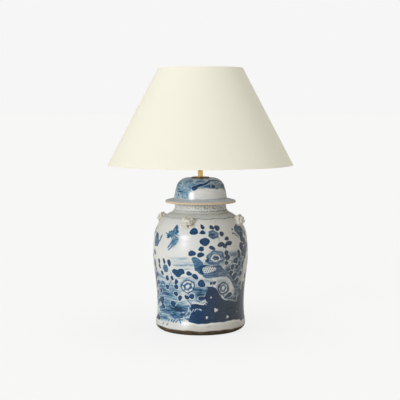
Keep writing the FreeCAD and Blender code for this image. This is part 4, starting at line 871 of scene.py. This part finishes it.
def glaze_over(finish, line_strength=0.82):
    """Cobalt under a thin grey glaze: how strong the blue is, from the painting's layers, with the
    streaks, grain and clouds that went into it."""
    f = finish
    streaks = f.noise(42, 5, 0.6, f.stretched(1.0, 1.0, 8.0), 0.5)
    grain = f.noise(420, 4, 0.65)
    cloud = f.noise(16, 3, 0.5)

    def inked(layer, soft=0.55):
        ragged = f.plus(f.mark(layer), f.line(grain, 0.3, 0.7, -0.45, 0.45))
        return f.rise(ragged, -soft, soft, 1.0, 0.0)

    wash = f.times(f.mark("wash"), f.rise(streaks, 0.32, 0.66, 0.5, 1.5))
    wash = f.times(wash, f.rise(f.calc("MINIMUM", f.mark("dark"), f.mark("deep")), 0.4, 2.2, 0.25, 1.0))
    mid = f.times(inked("mid", 0.8), f.rise(streaks, 0.3, 0.7, 0.44, 0.78))
    dark = f.times(inked("dark"), f.rise(streaks, 0.3, 0.7, 0.82, 0.93))
    dark = f.less(dark, f.rise(f.mark("dark"), -3.2, -0.8, 0.08, 0.0))
    line = f.times(inked("line", 0.5), line_strength)
    deep = f.times(inked("deep"), f.rise(f.plus(streaks, grain), 0.75, 1.25, 0.80, 1.0))
    strength = f.most(f.most(wash, mid), f.most(dark, line))
    strength = f.most(strength, deep)
    bare = f.times(inked("spare", 0.5), 0.94)
    bare = f.times(bare, f.less(1.0, inked("line", 0.5)))
    return f.times(strength, f.less(1.0, bare)), streaks, grain, cloud


def coloured_with_painted_shade(finish, strength):
    """Painted shade and painted reflection: the blue stays bright on the lit left side and turns slate grey
    on the right.
    """
    f = finish
    return f.mix(f.rise(f.measure("X"), -12, 62), f.ramp(strength, *COBALT), f.ramp(strength, *SLATE_PAINTED_SHADE))


GLAZE = (0.74, 0.745, 0.715)
COBALT = [
    (0.0, GLAZE), (0.15, (0.55, 0.60, 0.62)), (0.35, (0.25, 0.38, 0.46)), (0.55, (0.07, 0.19, 0.32)),
    (0.72, (0.008, 0.085, 0.20)), (0.86, (0.001, 0.032, 0.108)), (1.0, (0.003, 0.030, 0.074)),
]
# painted shade and painted reflection: a greyer, darker copy of the cobalt ramp for the right side
SLATE_PAINTED_SHADE = [
    (0.0, (0.68, 0.67, 0.62)), (0.15, (0.46, 0.48, 0.48)), (0.35, (0.27, 0.31, 0.34)),
    (0.55, (0.13, 0.18, 0.24)), (0.72, (0.065, 0.10, 0.15)), (0.86, (0.042, 0.058, 0.088)),
    (1.0, (0.020, 0.033, 0.058)),
]
ware = Finish("blue_and_white_stoneware", Roughness=0.28, IOR=1.5, Specular_IOR_Level=0.42)
strength, streaks, grain, cloud = glaze_over(ware)
height, side = ware.measure("Z"), ware.measure("X")
wander = ware.noise(30, 3)
# painted shade: the blue and the bare glaze grey and darken towards the right side
painted = coloured_with_painted_shade(ware, strength)
warm = ware.mix(ware.rise(cloud, 0.4, 0.7), (1.0, 1.0, 1.0), (0.985, 0.965, 0.92))
painted = ware.mix(1.0, painted, warm, "MULTIPLY")
# a grey wash on the shoulder and neck, the keys and rings, and specks and drops of iron
ragged_height = ware.plus(height, ware.line(wander, 0.3, 0.7, -3.0, 3.0))
shoulder_wash = ware.times(ware.rise(ragged_height, 279, 282), ware.rise(streaks, 0.3, 0.7, 0.55, 0.9))
painted = ware.mix(shoulder_wash, painted, (0.60, 0.63, 0.59))
keys = ware.times(ware.rise(ware.mark("fret"), -0.5, 0.5, 1.0, 0.0), ware.rise(side, -30, 20, 0.5, 0.95))
painted = ware.mix(keys, painted, (0.10, 0.13, 0.16))
specks = ware.times(ware.rise(ware.spots(130), 0.10, 0.055), ware.rise(ware.noise(40, 2), 0.50, 0.60))
iron = ware.most(specks, ware.rise(ware.mark("iron"), -0.6, 0.8, 1.0, 0.0))
painted = ware.mix(iron, painted, (0.10, 0.045, 0.018))
# the glaze thins out above the bare brown foot, and the band is darkened more towards the right side as
# painted shade
thin = ware.times(ware.rise(ragged_height, 31.0, 24.0), ware.rise(side, -62, -8, 0.2, 0.85))
painted = ware.mix(thin, painted, (0.56, 0.535, 0.48))
glazed = ware.rise(ware.plus(height, ware.line(wander, 0.3, 0.7, -1.6, 1.6)), 12.2, 14.2)
earth, brown, sand = (0.045, 0.026, 0.015), (0.12, 0.075, 0.04), (0.20, 0.14, 0.085)
clay = ware.ramp(ware.noise(60, 5, 0.6, ware.stretched(1, 1, 3)), (0.3, earth), (0.55, brown), (0.75, sand))
ware.set("Base Color", ware.mix(glazed, clay, painted))
ware.set("Roughness", ware.line(glazed, 0.0, 1.0, 0.8, 0.28))
ware.bump(ware.plus(ware.noise(28, 2), ware.times(grain, 0.25)), 0.0011, 0.35)
jar.data.materials.append(ware.material)
stands_for(jar, "jar_body", "lamp_base")

# ---------------------------------------------------------------- lead grommet
# A flanged black rubber grommet is pressed through the foot at the back, where the lead leaves.
rubber = Finish("black_rubber", Roughness=0.6)
rubber.two_toned(rubber.noise(240, 4), (0.012, 0.012, 0.012), (0.035, 0.034, 0.032), 0.0002, 0.35, 0.75)
dress(rubber, "lead_grommet")

# ---------------------------------------------------------------- mask lugs
# Four small lion masks, pressed from white clay and luted to the shoulder under a clear glaze. The
# glaze has gone brown in the hollows, and their deepest parts are painted near black as painted shade.
LUG_SEAT_RADIUS, LUG_HEIGHT, LUG_FIRST_ANGLE = 97.0, 272.5, -18.0
LUG_MIDDLE_OUT = 2.0
BLEND_SHARPNESS = 0.85
# Each lump and hollow: across, up, out, then its half-sizes. Lumps beside the middle have a twin.
LUG_LUMPS = [
    (0, 0, 0, 12.4, 12.2, 12.6), (0, 7.5, 9.6, 4.4, 2.6, 3.2), (0, -1.0, 13.4, 3.7, 3.4, 4.0),
    (0, -9.3, 8.6, 5.6, 3.6, 4.4), (5.2, 5.3, 10.6, 3.9, 2.3, 3.0), (6.9, -2.6, 9.8, 4.4, 3.9, 4.0),
    (3.0, -3.6, 12.4, 2.9, 2.3, 2.9), (10.6, 9.2, 3.4, 3.6, 4.0, 3.2), (12.8, 3.0, 2.0, 4.5, 4.2, 4.6),
    (12.8, -5.0, 4.0, 4.6, 4.2, 4.8), (8.6, -10.8, 3.4, 4.2, 3.4, 4.4), (4.4, 12.0, 2.8, 3.8, 3.0, 3.8),
]
LUG_LUMPS += [(-lump[0], *lump[1:]) for lump in LUG_LUMPS if lump[0]]
LUG_HOLLOWS = [
    (5.2, -7.2, 12.6, 2.6, 2.7, 4.2), (-3.6, 12.4, 7.6, 3.0, 1.2, 3.4), (6.6, 11.0, 8.0, 2.4, 1.2, 3.4),
]
LUG_HOLLOWS += [(10.0 + 4.8 * math.cos(a), 0.4 + 6.4 * math.sin(a), 8.4 - 3.0 * math.cos(a), 0.9, 0.9, 2.6)
                for a in np.linspace(-1.3, 1.3, 9)]


def to_lump(points, lump):
    """About how far each point is outside one rounded lump."""
    middle, half = np.array(lump[:3]), np.array(lump[3:])
    return (np.linalg.norm((points - middle) / half, axis=1) - 1) * half.min()


def lug_depths(points):
    """How far each point is outside the mask's clay, and from its nearest hollow."""
    lumps = np.array([to_lump(points, lump) for lump in LUG_LUMPS])
    clay = -np.log(np.exp(-BLEND_SHARPNESS * np.minimum(lumps, 25)).sum(0)) / BLEND_SHARPNESS
    hollow = np.array([to_lump(points, lump) for lump in LUG_HOLLOWS]).min(0)
    deepest = np.log(np.exp(BLEND_SHARPNESS * clay) + np.exp(-BLEND_SHARPNESS * hollow)) / BLEND_SHARPNESS
    return deepest, hollow


ball = bmesh.new()
bmesh.ops.create_icosphere(ball, subdivisions=6, radius=1.0)
lug_faces = [[corner.index for corner in face.verts] for face in ball.faces]
rays = np.array([corner.co for corner in ball.verts])
ball.free()
middle = np.array([0, 0, LUG_MIDDLE_OUT])
short, long = np.full(len(rays), 4.0), np.full(len(rays), 26.0)
for _ in range(16):
    halfway = (short + long) / 2
    beyond = lug_depths(middle + rays * halfway[:, None])[0] > 0
    short, long = np.where(beyond, short, halfway), np.where(beyond, halfway, long)
lug_points = middle + rays * short[:, None]
lug_hollow = lug_depths(lug_points)[1]

cream = Finish("cream_glaze", Roughness=0.25)
crawl = cream.noise(160, 4, 0.6)
near_hollow = cream.plus(cream.mark("hollow"), cream.line(crawl, 0.3, 0.7, -0.5, 0.5))
body = cream.ramp(crawl, (0.3, (0.60, 0.58, 0.48)), (0.7, (0.76, 0.74, 0.66)))
stained = cream.mix(cream.rise(near_hollow, 0.0, 1.7, 0.75, 0.0), body, (0.30, 0.235, 0.16))
# painted shade: the deepest parts of the hollows are coloured near black
painted_hollow_shade = cream.rise(near_hollow, -0.9, 0.2, 1.0, 0.0)
cream.set("Base Color", cream.mix(painted_hollow_shade, stained, (0.045, 0.030, 0.018)))
cream.bump(crawl, 0.0005, 0.4)
for quarter, side in enumerate(("front", "right", "back", "left")):
    a = math.radians(LUG_FIRST_ANGLE + 90 * quarter)
    across, out = np.array([math.cos(a), math.sin(a), 0]), np.array([math.sin(a), -math.cos(a), 0])
    places = lug_points[:, :1] * across + (lug_points[:, 2:] + LUG_SEAT_RADIUS) * out
    places[:, 2] += lug_points[:, 1] + LUG_HEIGHT
    mesh = bpy.data.meshes.new(f"mask_lug_{side}_modelled")
    mesh.from_pydata((places * MM).tolist(), [], lug_faces)
    mesh.attributes.new("hollow", "FLOAT", "POINT").data.foreach_set("value", lug_hollow.astype(np.float32))
    mesh.materials.append(cream.material)
    lug = mesh_object(mesh.name, mesh)
    mesh.shade_smooth()
    outward(mesh)
    stands_for(lug, f"mask_lug_{side}", "lamp_base")

# ---------------------------------------------------------------- lid
# The jar's own domed lid, of the same ware. Its wide flange lies on the rim with a bare tan edge,
# and a collar drops into the neck.
LID_AROUND = 360
LID_OUTSIDE = [
    (86.0, RIM), (87.2, 315.7), (87.2, 318.5), (86.0, 319.7), (65.6, 325.0), Via((62.4, 342.5)),
    (57.9, 358.0), Via((51.0, 367.3)), (38.0, 374.5),
]
LID_INSIDE = [
    (ROD_HOLE_RADIUS, 374.5), (ROD_HOLE_RADIUS, 368.5), (36.8, 368.5), (46.8, 363.1), (52.2, 356.2),
    (56.4, 342.5), (59.6, 325.0), (49.8, RIM), (49.8, 302.5), (55.8, 302.5), (55.8, RIM),
]
lid_outline = traced(LID_OUTSIDE, 1.5)
lid_heights, lid_radii = [p[1] for p in lid_outline], [p[0] for p in lid_outline]
steps_up = [math.dist(a, b) for a, b in zip(lid_outline[:-1], lid_outline[1:])]
lid_lengths = RIM + np.concatenate([[0], np.cumsum(steps_up)])
crown = traced([(38.0, 374.5), (ROD_HOLE_RADIUS, 374.5)], 1.8)[1:-1]
lid = turned("jar_lid_painted", lid_outline + crown + traced(LID_INSIDE, 12), LID_AROUND)
smoothed(lid, 40)
brushed = Painting(lid.data, lid_radii, lid_heights, 62.0, lid_lengths)
on_lid = Board(brushed, 1.544, 437.4, 115.0)
on_lid.dabs("dark", [
    (-8.8, 51.4, 6, 3.6, 22), (19.4, 49.3, 3.9, 3.5, 0), (2.4, 37.3, 4.6, 2, 0), (-34, 61.5, 1.6, 1.4, 0),
    (35.5, 47, 3.4, 3, 0), (-31.5, 44.5, 2.2, 1.2, 20),
])
on_lid.strokes(
    "dark", 7.5, 4.5, [(-11, 52), (-5, 48.5), (1, 46.5), (6, 46), (11, 42.5), (17, 39), (26, 40), (32, 43)],
)
on_lid.washes([(26, 44, 14, 6, -15, 0.45), (34, 50, 6, 6, -15, 0.5), (6, 43, 14, 4, -15, 0.35),
               (-4, 48, 8, 4, -15, 0.4)])
on_lid.patches("reserve", [
    (-19, 67), (-18, 60), (-14, 56.5), (-9, 56), (-5, 53.5), (0, 52), (5, 53), (9, 51.3), (15, 53),
    (20, 52.3), (25, 54), (29, 52), (34, 52.3), (37, 56), (39, 62), (40, 68), (30, 69), (10, 70), (-8, 70),
])
for half in (5.2, 2.6):
    corners = [(-26 - half, 57), (-26, 57 - half), (-26 + half, 57), (-26, 57 + half), (-26 - half, 57)]
    for a, b in zip(corners[:-1], corners[1:]):
        on_lid.strokes("line", 1.3, 1.3, [a, ((a[0] + b[0]) / 2, (a[1] + b[1]) / 2), b])

# Round the dome go curls, pale dots at its foot, washes, and three more bare panels with a branch.
curl = np.random.default_rng(5)
HOOK = np.array([(-1, -0.3), (-0.2, 0.9), (0.9, 0.5), (0.6, -0.5), (-0.1, -0.2)])
for k in range(150):
    at = np.array((curl.uniform(0, brushed.girth), curl.uniform(356, 405)))
    reach, lean = curl.uniform(3.0, 5.0), math.radians(curl.uniform(0, 360))
    turned_hook = HOOK @ np.array([(math.cos(lean), math.sin(lean)), (-math.sin(lean), math.cos(lean))])
    brushed.stroke("line", at + reach * turned_hook, 1.2, 0.8)
for k in range(46):
    brushed.oval("spare", (k * brushed.girth / 46, 346.5 + 0.4 * math.sin(k)), 1.5, 1.2)
for k in range(20):
    at = (k * brushed.girth / 20, curl.uniform(360, 400))
    brushed.wash(at, 18, curl.uniform(8, 16), curl.uniform(-20, 20), curl.uniform(0.35, 0.6))
for turn in (110, 180, 250):
    s, up = brushed.beside(turn, 349)
    panel = [(-30, 0), (-26, 17), (-14, 21), (0, 18), (14, 22), (27, 16), (30, 0)]
    branch = [(-30, 23), (-8, 28), (12, 31), (34, 39)]
    brushed.patch("reserve", [(s + across, up + rise) for across, rise in panel])
    brushed.stroke("dark", [(s + across, up + rise) for across, rise in branch], 4.5, 2.5)
for name in ("mid", "deep"):
    brushed.layer(name)
brushed.keep()

lid_ware = Finish("lid_stoneware", Roughness=0.26, IOR=1.5, Specular_IOR_Level=0.42)
strength, streaks, grain, cloud = glaze_over(lid_ware, 0.6)
scrolls = lid_ware.noise(150, 3, 0.5, None, 2.2)
base_wash = lid_ware.plus(lid_ware.rise(scrolls, 0.42, 0.58, 0.12, 0.38),
                          lid_ware.rise(cloud, 0.3, 0.7, 0.0, 0.10))
strength = lid_ware.most(strength, base_wash)
height = lid_ware.measure("Z")
ragged = lid_ware.plus(lid_ware.mark("reserve"), lid_ware.line(grain, 0.3, 0.7, -0.8, 0.8))
undarkened = lid_ware.rise(lid_ware.mark("dark"), -0.5, 0.5)
reserve = lid_ware.times(lid_ware.rise(ragged, -0.8, 0.8, 1.0, 0.0), undarkened)
on_flange = lid_ware.rise(height, 325.5, 328, 1.0, 0.0)
# painted shade: the lid's blue greys and darkens towards the right side, as on the jar
painted = coloured_with_painted_shade(lid_ware, strength)
plain_grey = lid_ware.ramp(streaks, (0.3, (0.66, 0.66, 0.63)), (0.7, (0.80, 0.79, 0.75)))
flange_grey = lid_ware.ramp(streaks, (0.3, (0.38, 0.42, 0.44)), (0.7, (0.52, 0.55, 0.55)))
painted = lid_ware.mix(reserve, painted, plain_grey)
painted = lid_ware.mix(on_flange, painted, flange_grey)
dots = lid_ware.rise(lid_ware.mark("spare"), -0.5, 0.5, 1.0, 0.0)
painted = lid_ware.mix(lid_ware.times(dots, 0.75), painted, (0.70, 0.71, 0.69))
edge = lid_ware.times(lid_ware.rise(height, 319.4, 320.4, 1.0, 0.0), lid_ware.rise(height, 313.6, 314.2))
tan = lid_ware.ramp(grain, (0.3, (0.52, 0.38, 0.25)), (0.7, (0.80, 0.67, 0.50)))
lid_ware.set("Base Color", lid_ware.mix(edge, painted, tan))
lid_ware.set("Roughness", lid_ware.line(edge, 0.0, 1.0, 0.22, 0.8))
lid_ware.bump(lid_ware.plus(lid_ware.noise(28, 2), lid_ware.times(grain, 0.25)), 0.0011, 0.35)
lid.data.materials.append(lid_ware.material)
stands_for(lid, "jar_lid", "lamp_base")

# ---------------------------------------------------------------- rod, nut and washers
# A hollow threaded rod runs from under the jar's floor to the lampholder. A rubber cushion, a steel
# washer, a spring washer and a nut hold it below the floor.
class Recipe(Nodes):
    """A Geometry Nodes tree with named sizes in metres, run once to leave a plain mesh."""

    def __init__(self, name, **sizes):
        super().__init__(bpy.data.node_groups.new(name, "GeometryNodeTree"))
        face = self.tree.interface
        face.new_socket("Piece", in_out="OUTPUT", socket_type="NodeSocketGeometry")
        for size, value in sizes.items():
            kind = "NodeSocketInt" if isinstance(value, int) else "NodeSocketFloat"
            face.new_socket(size, in_out="INPUT", socket_type=kind)
        self.sizes = sizes
        self.size = self.tree.nodes.new("NodeGroupInput").outputs

    def point(self, x=0.0, y=0.0, z=0.0):
        return self.add("ShaderNodeCombineXYZ", {"X": x, "Y": y, "Z": z}).outputs[0]

    def moved(self, geometry, offset=None, turn=None):
        inputs = {"Geometry": geometry, "Translation": offset, "Rotation": turn}
        return self.add("GeometryNodeTransform", inputs).outputs[0]

    def swept(self, path, profile):
        inputs = {"Curve": path, "Profile Curve": profile, "Fill Caps": True}
        return self.add("GeometryNodeCurveToMesh", inputs).outputs[0]

    def ring(self, radius, around):
        inputs = {"Resolution": around, "Radius": radius}
        return self.add("GeometryNodeCurvePrimitiveCircle", inputs).outputs[0]

    def oblong(self, width, height):
        inputs = {"Width": width, "Height": height}
        return self.add("GeometryNodeCurvePrimitiveQuadrilateral", inputs).outputs[0]

    def pipe(self, bore, outer, length, around):
        """A plain pipe, centred on its middle."""
        wall = self.less(outer, bore)
        middle = self.plus(bore, self.times(wall, 0.5))
        return self.swept(self.ring(middle, around), self.oblong(wall, length))

    def spiral(self, per_turn, turns, radius, length):
        inputs = {"Resolution": per_turn, "Rotations": turns, "Start Radius": radius, "End Radius": radius,
                  "Height": length}
        return self.add("GeometryNodeCurveSpiral", inputs).outputs[0]

    def together(self, *parts):
        made = self.add("GeometryNodeJoinGeometry")
        for part in parts:
            self.tree.links.new(part, made.inputs[0])
        return made.outputs[0]

    def made(self, name, geometry, finish, sharp=35):
        whole = self.add("GeometryNodeRealizeInstances", {"Geometry": geometry}).outputs[0]
        dressed = self.add("GeometryNodeSetMaterial", {"Geometry": whole, "Material": finish.material})
        self.add("NodeGroupOutput", {0: dressed.outputs[0]})
        piece = mesh_object(name, bpy.data.meshes.new(name))
        worker = piece.modifiers.new("recipe", "NODES")
        worker.node_group = self.tree
        for item in self.tree.interface.items_tree:
            if item.in_out == "INPUT":
                worker[item.identifier] = self.sizes[item.name]
        bpy.context.view_layer.update()
        mesh = bpy.data.meshes.new_from_object(piece.evaluated_get(bpy.context.evaluated_depsgraph_get()))
        piece.modifiers.remove(worker)
        mesh.name = name
        piece.data = mesh
        outward(mesh)
        smoothed(piece, sharp)
        return piece


steel = Finish("zinc_steel", Metallic=1.0, Roughness=0.35)
film = steel.noise(180, 4, 0.6, steel.stretched(1, 1, 0.3))
steel.set("Base Color", steel.ramp(film, (0.3, (0.42, 0.43, 0.44)), (0.7, (0.60, 0.60, 0.58))))
steel.set("Roughness", steel.rise(film, 0.3, 0.7, 0.28, 0.48))
steel.bump(film, 0.0001)
dress(steel, "steel_washer", "spring_washer", "base_nut")
dress(rubber, "rubber_washer")

low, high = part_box("threaded_rod")
rod = Recipe("rod_thread", core=0.0046, bore=0.0037, pitch=0.001, crest=0.00038, foot=low.z,
             length=high.z - low.z, around=24)
size = rod.size
turns = rod.less(rod.calc("DIVIDE", size["length"], size["pitch"]), 1.5)
wound = rod.spiral(16, turns, size["core"], rod.times(turns, size["pitch"]))
ridge = rod.swept(wound, rod.ring(size["crest"], 4))
pipe = rod.pipe(size["bore"], size["core"], size["length"], size["around"])
middle = rod.plus(size["foot"], rod.times(size["length"], 0.5))
lift = rod.plus(size["foot"], rod.times(size["pitch"], 0.7))
threaded = rod.together(rod.moved(pipe, rod.point(z=middle)), rod.moved(ridge, rod.point(z=lift)))
stands_for(rod.made("threaded_rod_cut", threaded, steel, 60), "threaded_rod", "lamp_base")

# ---------------------------------------------------------------- brass on the lid
# A red fibre washer, a thin cap of brown old brass on the crown, and a short polished tube that
# hides the rod up to the lampholder.
fibre = Finish("red_fibre", Roughness=0.75)
fibre.two_toned(fibre.noise(500, 4, 0.7), (0.16, 0.028, 0.016), (0.30, 0.06, 0.035), 0.0002)
dress(fibre, "fibre_washer")

old_brass = Finish("aged_brass", Metallic=0.9)
patina = old_brass.noise(140, 5, 0.65, warp=0.4)
brown, tan, golden = (0.10, 0.045, 0.018), (0.22, 0.11, 0.05), (0.42, 0.25, 0.11)
old_brass.set("Base Color", old_brass.ramp(patina, (0.3, brown), (0.55, tan), (0.8, golden)))
old_brass.set("Roughness", old_brass.rise(patina, 0.3, 0.7, 0.5, 0.32))
old_brass.bump(patina, 0.0002)
dress(old_brass, "vase_cap")

brass = Finish("polished_brass", Metallic=1.0)
turned_marks = brass.noise(260, 4, 0.6, brass.stretched(0.15, 0.15, 6.0))
tarnish = brass.noise(45, 3)
brass.set("Base Color", brass.mix(brass.rise(tarnish, 0.4, 0.75), (0.86, 0.60, 0.22), (0.66, 0.41, 0.13)))
brass.set("Roughness", brass.rise(turned_marks, 0.3, 0.7, 0.13, 0.24))
brass.bump(turned_marks, 0.00008)
dress(brass, "neck_tube", "holder_cap", "terminal_screws", "switch_leaves", "centre_contact", "screw_shell",
      "holder_sleeve", "contact_bridge", "gimbal", "pivot_pins")

# ---------------------------------------------------------------- lampholder
# A turned brass lampholder for a screw-cap bulb. A porcelain insert in its cap carries the contacts,
# and two ribbed rings on the sleeve grip the shade's gimbal between them.
porcelain = Finish("white_porcelain", Roughness=0.3)
porcelain.two_toned(porcelain.noise(120, 4), (0.66, 0.65, 0.60), (0.78, 0.77, 0.73), 0.0001)
dress(porcelain, "holder_insert")
dress(steel, "cap_grub_screw")

for node in ("lower_grip_ring", "upper_grip_ring"):
    low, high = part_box(node)
    grip = Recipe(node + "_ribs", outer=high.x - 0.0006, bore=0.0199, height=high.z - low.z, rib=0.0006,
                  ribs=60, foot=low.z)
    size = grip.size
    rim = {"Curve": grip.ring(size["outer"], 96), "Count": size["ribs"]}
    posts = grip.add("GeometryNodeCurveToPoints", rim, mode="COUNT").outputs[0]
    bar = {"Vertices": 8, "Radius": size["rib"], "Depth": grip.times(size["height"], 0.9)}
    rib = grip.add("GeometryNodeMeshCylinder", bar).outputs[0]
    ribs = grip.add("GeometryNodeInstanceOnPoints", {"Points": posts, "Instance": rib}).outputs[0]
    band = grip.pipe(size["bore"], size["outer"], size["height"], 96)
    middle = grip.plus(size["foot"], grip.times(size["height"], 0.5))
    whole = grip.moved(grip.together(band, ribs), grip.point(z=middle))
    stands_for(grip.made(node + "_ribbed", whole, brass), node, "lamp_base")

# ---------------------------------------------------------------- switch
# A black bar pushes through the lampholder's cap from side to side and carries a brass bridge that
# joins the contacts.
bakelite = Finish("black_plastic", Roughness=0.25)
bakelite.two_toned(bakelite.noise(90, 3), (0.010, 0.009, 0.009), (0.022, 0.020, 0.019), 0.0001)
dress(bakelite, "switch_bar", "pivot_washers")

# ---------------------------------------------------------------- shade carrier
# The gimbal turns on the lampholder. The shade's hoop tilts on two pins in the gimbal's ears, and
# three white wire arms carry the shade from the hoop.
wire = Finish("white_wire", Roughness=0.4)
wire.two_toned(wire.noise(150, 3), (0.70, 0.69, 0.63), (0.80, 0.79, 0.74), 0.0001)
dress(wire, "shade_hoop", "top_wire_ring", "bottom_wire_ring", "shade_arm_1", "shade_arm_2", "shade_arm_3")

# ---------------------------------------------------------------- shade
# A wide cone of ivory card with a smooth cloth face and a white lining, closed by one glued seam at
# the back. Its rims are rolled over wire rings.
low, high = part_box("shade_card")
SHADE_BOTTOM_RADIUS, SHADE_TOP_RADIUS, CARD = high.x, 0.1036, 0.0008
cone = Recipe("shade_cone", bottom_radius=SHADE_BOTTOM_RADIUS, top_radius=SHADE_TOP_RADIUS,
              bottom=low.z, top=high.z, card=CARD * 1.13, around=288, rows=24)
size = cone.size
columns = cone.plus(size["around"], 1.0)
grid = {"Size X": math.tau, "Size Y": 1.0, "Vertices X": columns, "Vertices Y": size["rows"]}
one = cone.add("GeometryNodeMeshGrid", grid).outputs[0]
flat = cone.split(cone.add("GeometryNodeInputPosition").outputs[0])
share = cone.plus(flat["Y"], 0.5)


def between(first, last):
    """The size that lies at this share of the way up."""
    return cone.plus(size[first], cone.times(share, cone.less(size[last], size[first])))


radius, level = between("bottom_radius", "top_radius"), between("bottom", "top")


def rolled(depth):
    """The sheet rolled into a cone that lies this deep under the outer face."""
    reach = cone.less(radius, depth)
    at = cone.point(cone.times(reach, cone.calc("COSINE", flat["X"])),
                    cone.times(reach, cone.calc("SINE", flat["X"])), level)
    return cone.add("GeometryNodeSetPosition", {"Geometry": one, "Position": at}).outputs[0]


lining = cone.add("GeometryNodeFlipFaces", {0: rolled(size["card"])}).outputs[0]
both = {"Geometry": cone.together(rolled(0.0), lining), "Distance": 0.00001}
sheet = cone.add("GeometryNodeMergeByDistance", both).outputs[0]

ivory = Finish("ivory_card", Roughness=0.85)
weave = ivory.noise(700, 3, 0.6, ivory.stretched(1, 1, 0.35))
parts = ivory.split(ivory.where)
out = ivory.calc("SQRT", ivory.plus(ivory.times(parts["X"], parts["X"]), ivory.times(parts["Y"], parts["Y"])))
face = ivory.line(parts["Z"], low.z, high.z, SHADE_BOTTOM_RADIUS, SHADE_TOP_RADIUS)
depth = ivory.less(face, out)
cloth = ivory.ramp(weave, (0.35, (0.685, 0.66, 0.565)), (0.65, (0.705, 0.68, 0.585)))
ivory.set("Base Color", ivory.mix(ivory.rise(depth, 0.0004, 0.0006), cloth, (0.80, 0.80, 0.78)))
ivory.bump(weave, 0.00006)
shade = cone.made("shade_cone", sheet, ivory, 60)
stands_for(shade, "shade_card", "shade")

hem = Finish("ivory_hem", Roughness=0.8)
hem.two_toned(hem.noise(500, 3), (0.65, 0.63, 0.53), (0.69, 0.67, 0.57), 0.00006, 0.35, 0.65)
dress(hem, "top_hem", "bottom_hem")

# ---------------------------------------------------------------- bulb
# A clear screw-cap bulb stands in the lampholder under the shade. A wound filament hangs between two
# wires on a glass stem.
glass = Finish("bulb_glass", Roughness=0.02, IOR=1.45, Transmission_Weight=1.0)
glass.two_toned(glass.noise(60, 2), (0.93, 0.94, 0.94), (0.97, 0.97, 0.97), 0.00008)
dress(glass, "bulb_glass", "bulb_stem")

black = Finish("black_glass", Roughness=0.15)
black.two_toned(black.noise(200, 2), (0.008, 0.008, 0.010), (0.02, 0.02, 0.024), 0.0001)
dress(black, "bulb_insulator")

plated = Finish("plated_cap", Metallic=1.0, Roughness=0.3)
plated.two_toned(plated.noise(160, 3), (0.50, 0.49, 0.46), (0.66, 0.65, 0.61), 0.0001)
dress(plated, "bulb_cap")
dress(steel, "bulb_tip")

low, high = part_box("filament")
tungsten = Finish("tungsten", Metallic=1.0, Roughness=0.5)
tungsten.two_toned(tungsten.noise(900, 2), (0.16, 0.155, 0.15), (0.26, 0.25, 0.24), 0.00005)
coil = Recipe("filament_coil", radius=0.00062, wire=0.0002, length=high.x - low.x, turns=26,
              height=(low.z + high.z) / 2)
inner = coil.less(coil.size["length"], coil.times(coil.size["wire"], 2.0))
helix = coil.spiral(14, coil.size["turns"], coil.size["radius"], inner)
wound = coil.swept(helix, coil.ring(coil.size["wire"], 6))
centred = coil.moved(wound, coil.point(z=coil.times(inner, -0.5)))
hung = coil.moved(coil.moved(centred, turn=(0, math.pi / 2, 0)), coil.point(z=coil.size["height"]))
stands_for(coil.made("filament_coil", hung, tungsten, 60), "filament", "bulb")
dress(tungsten, "support_wires")

# ---------------------------------------------------------------- ending
# The overall box of the shown pieces is measured.
low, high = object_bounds()
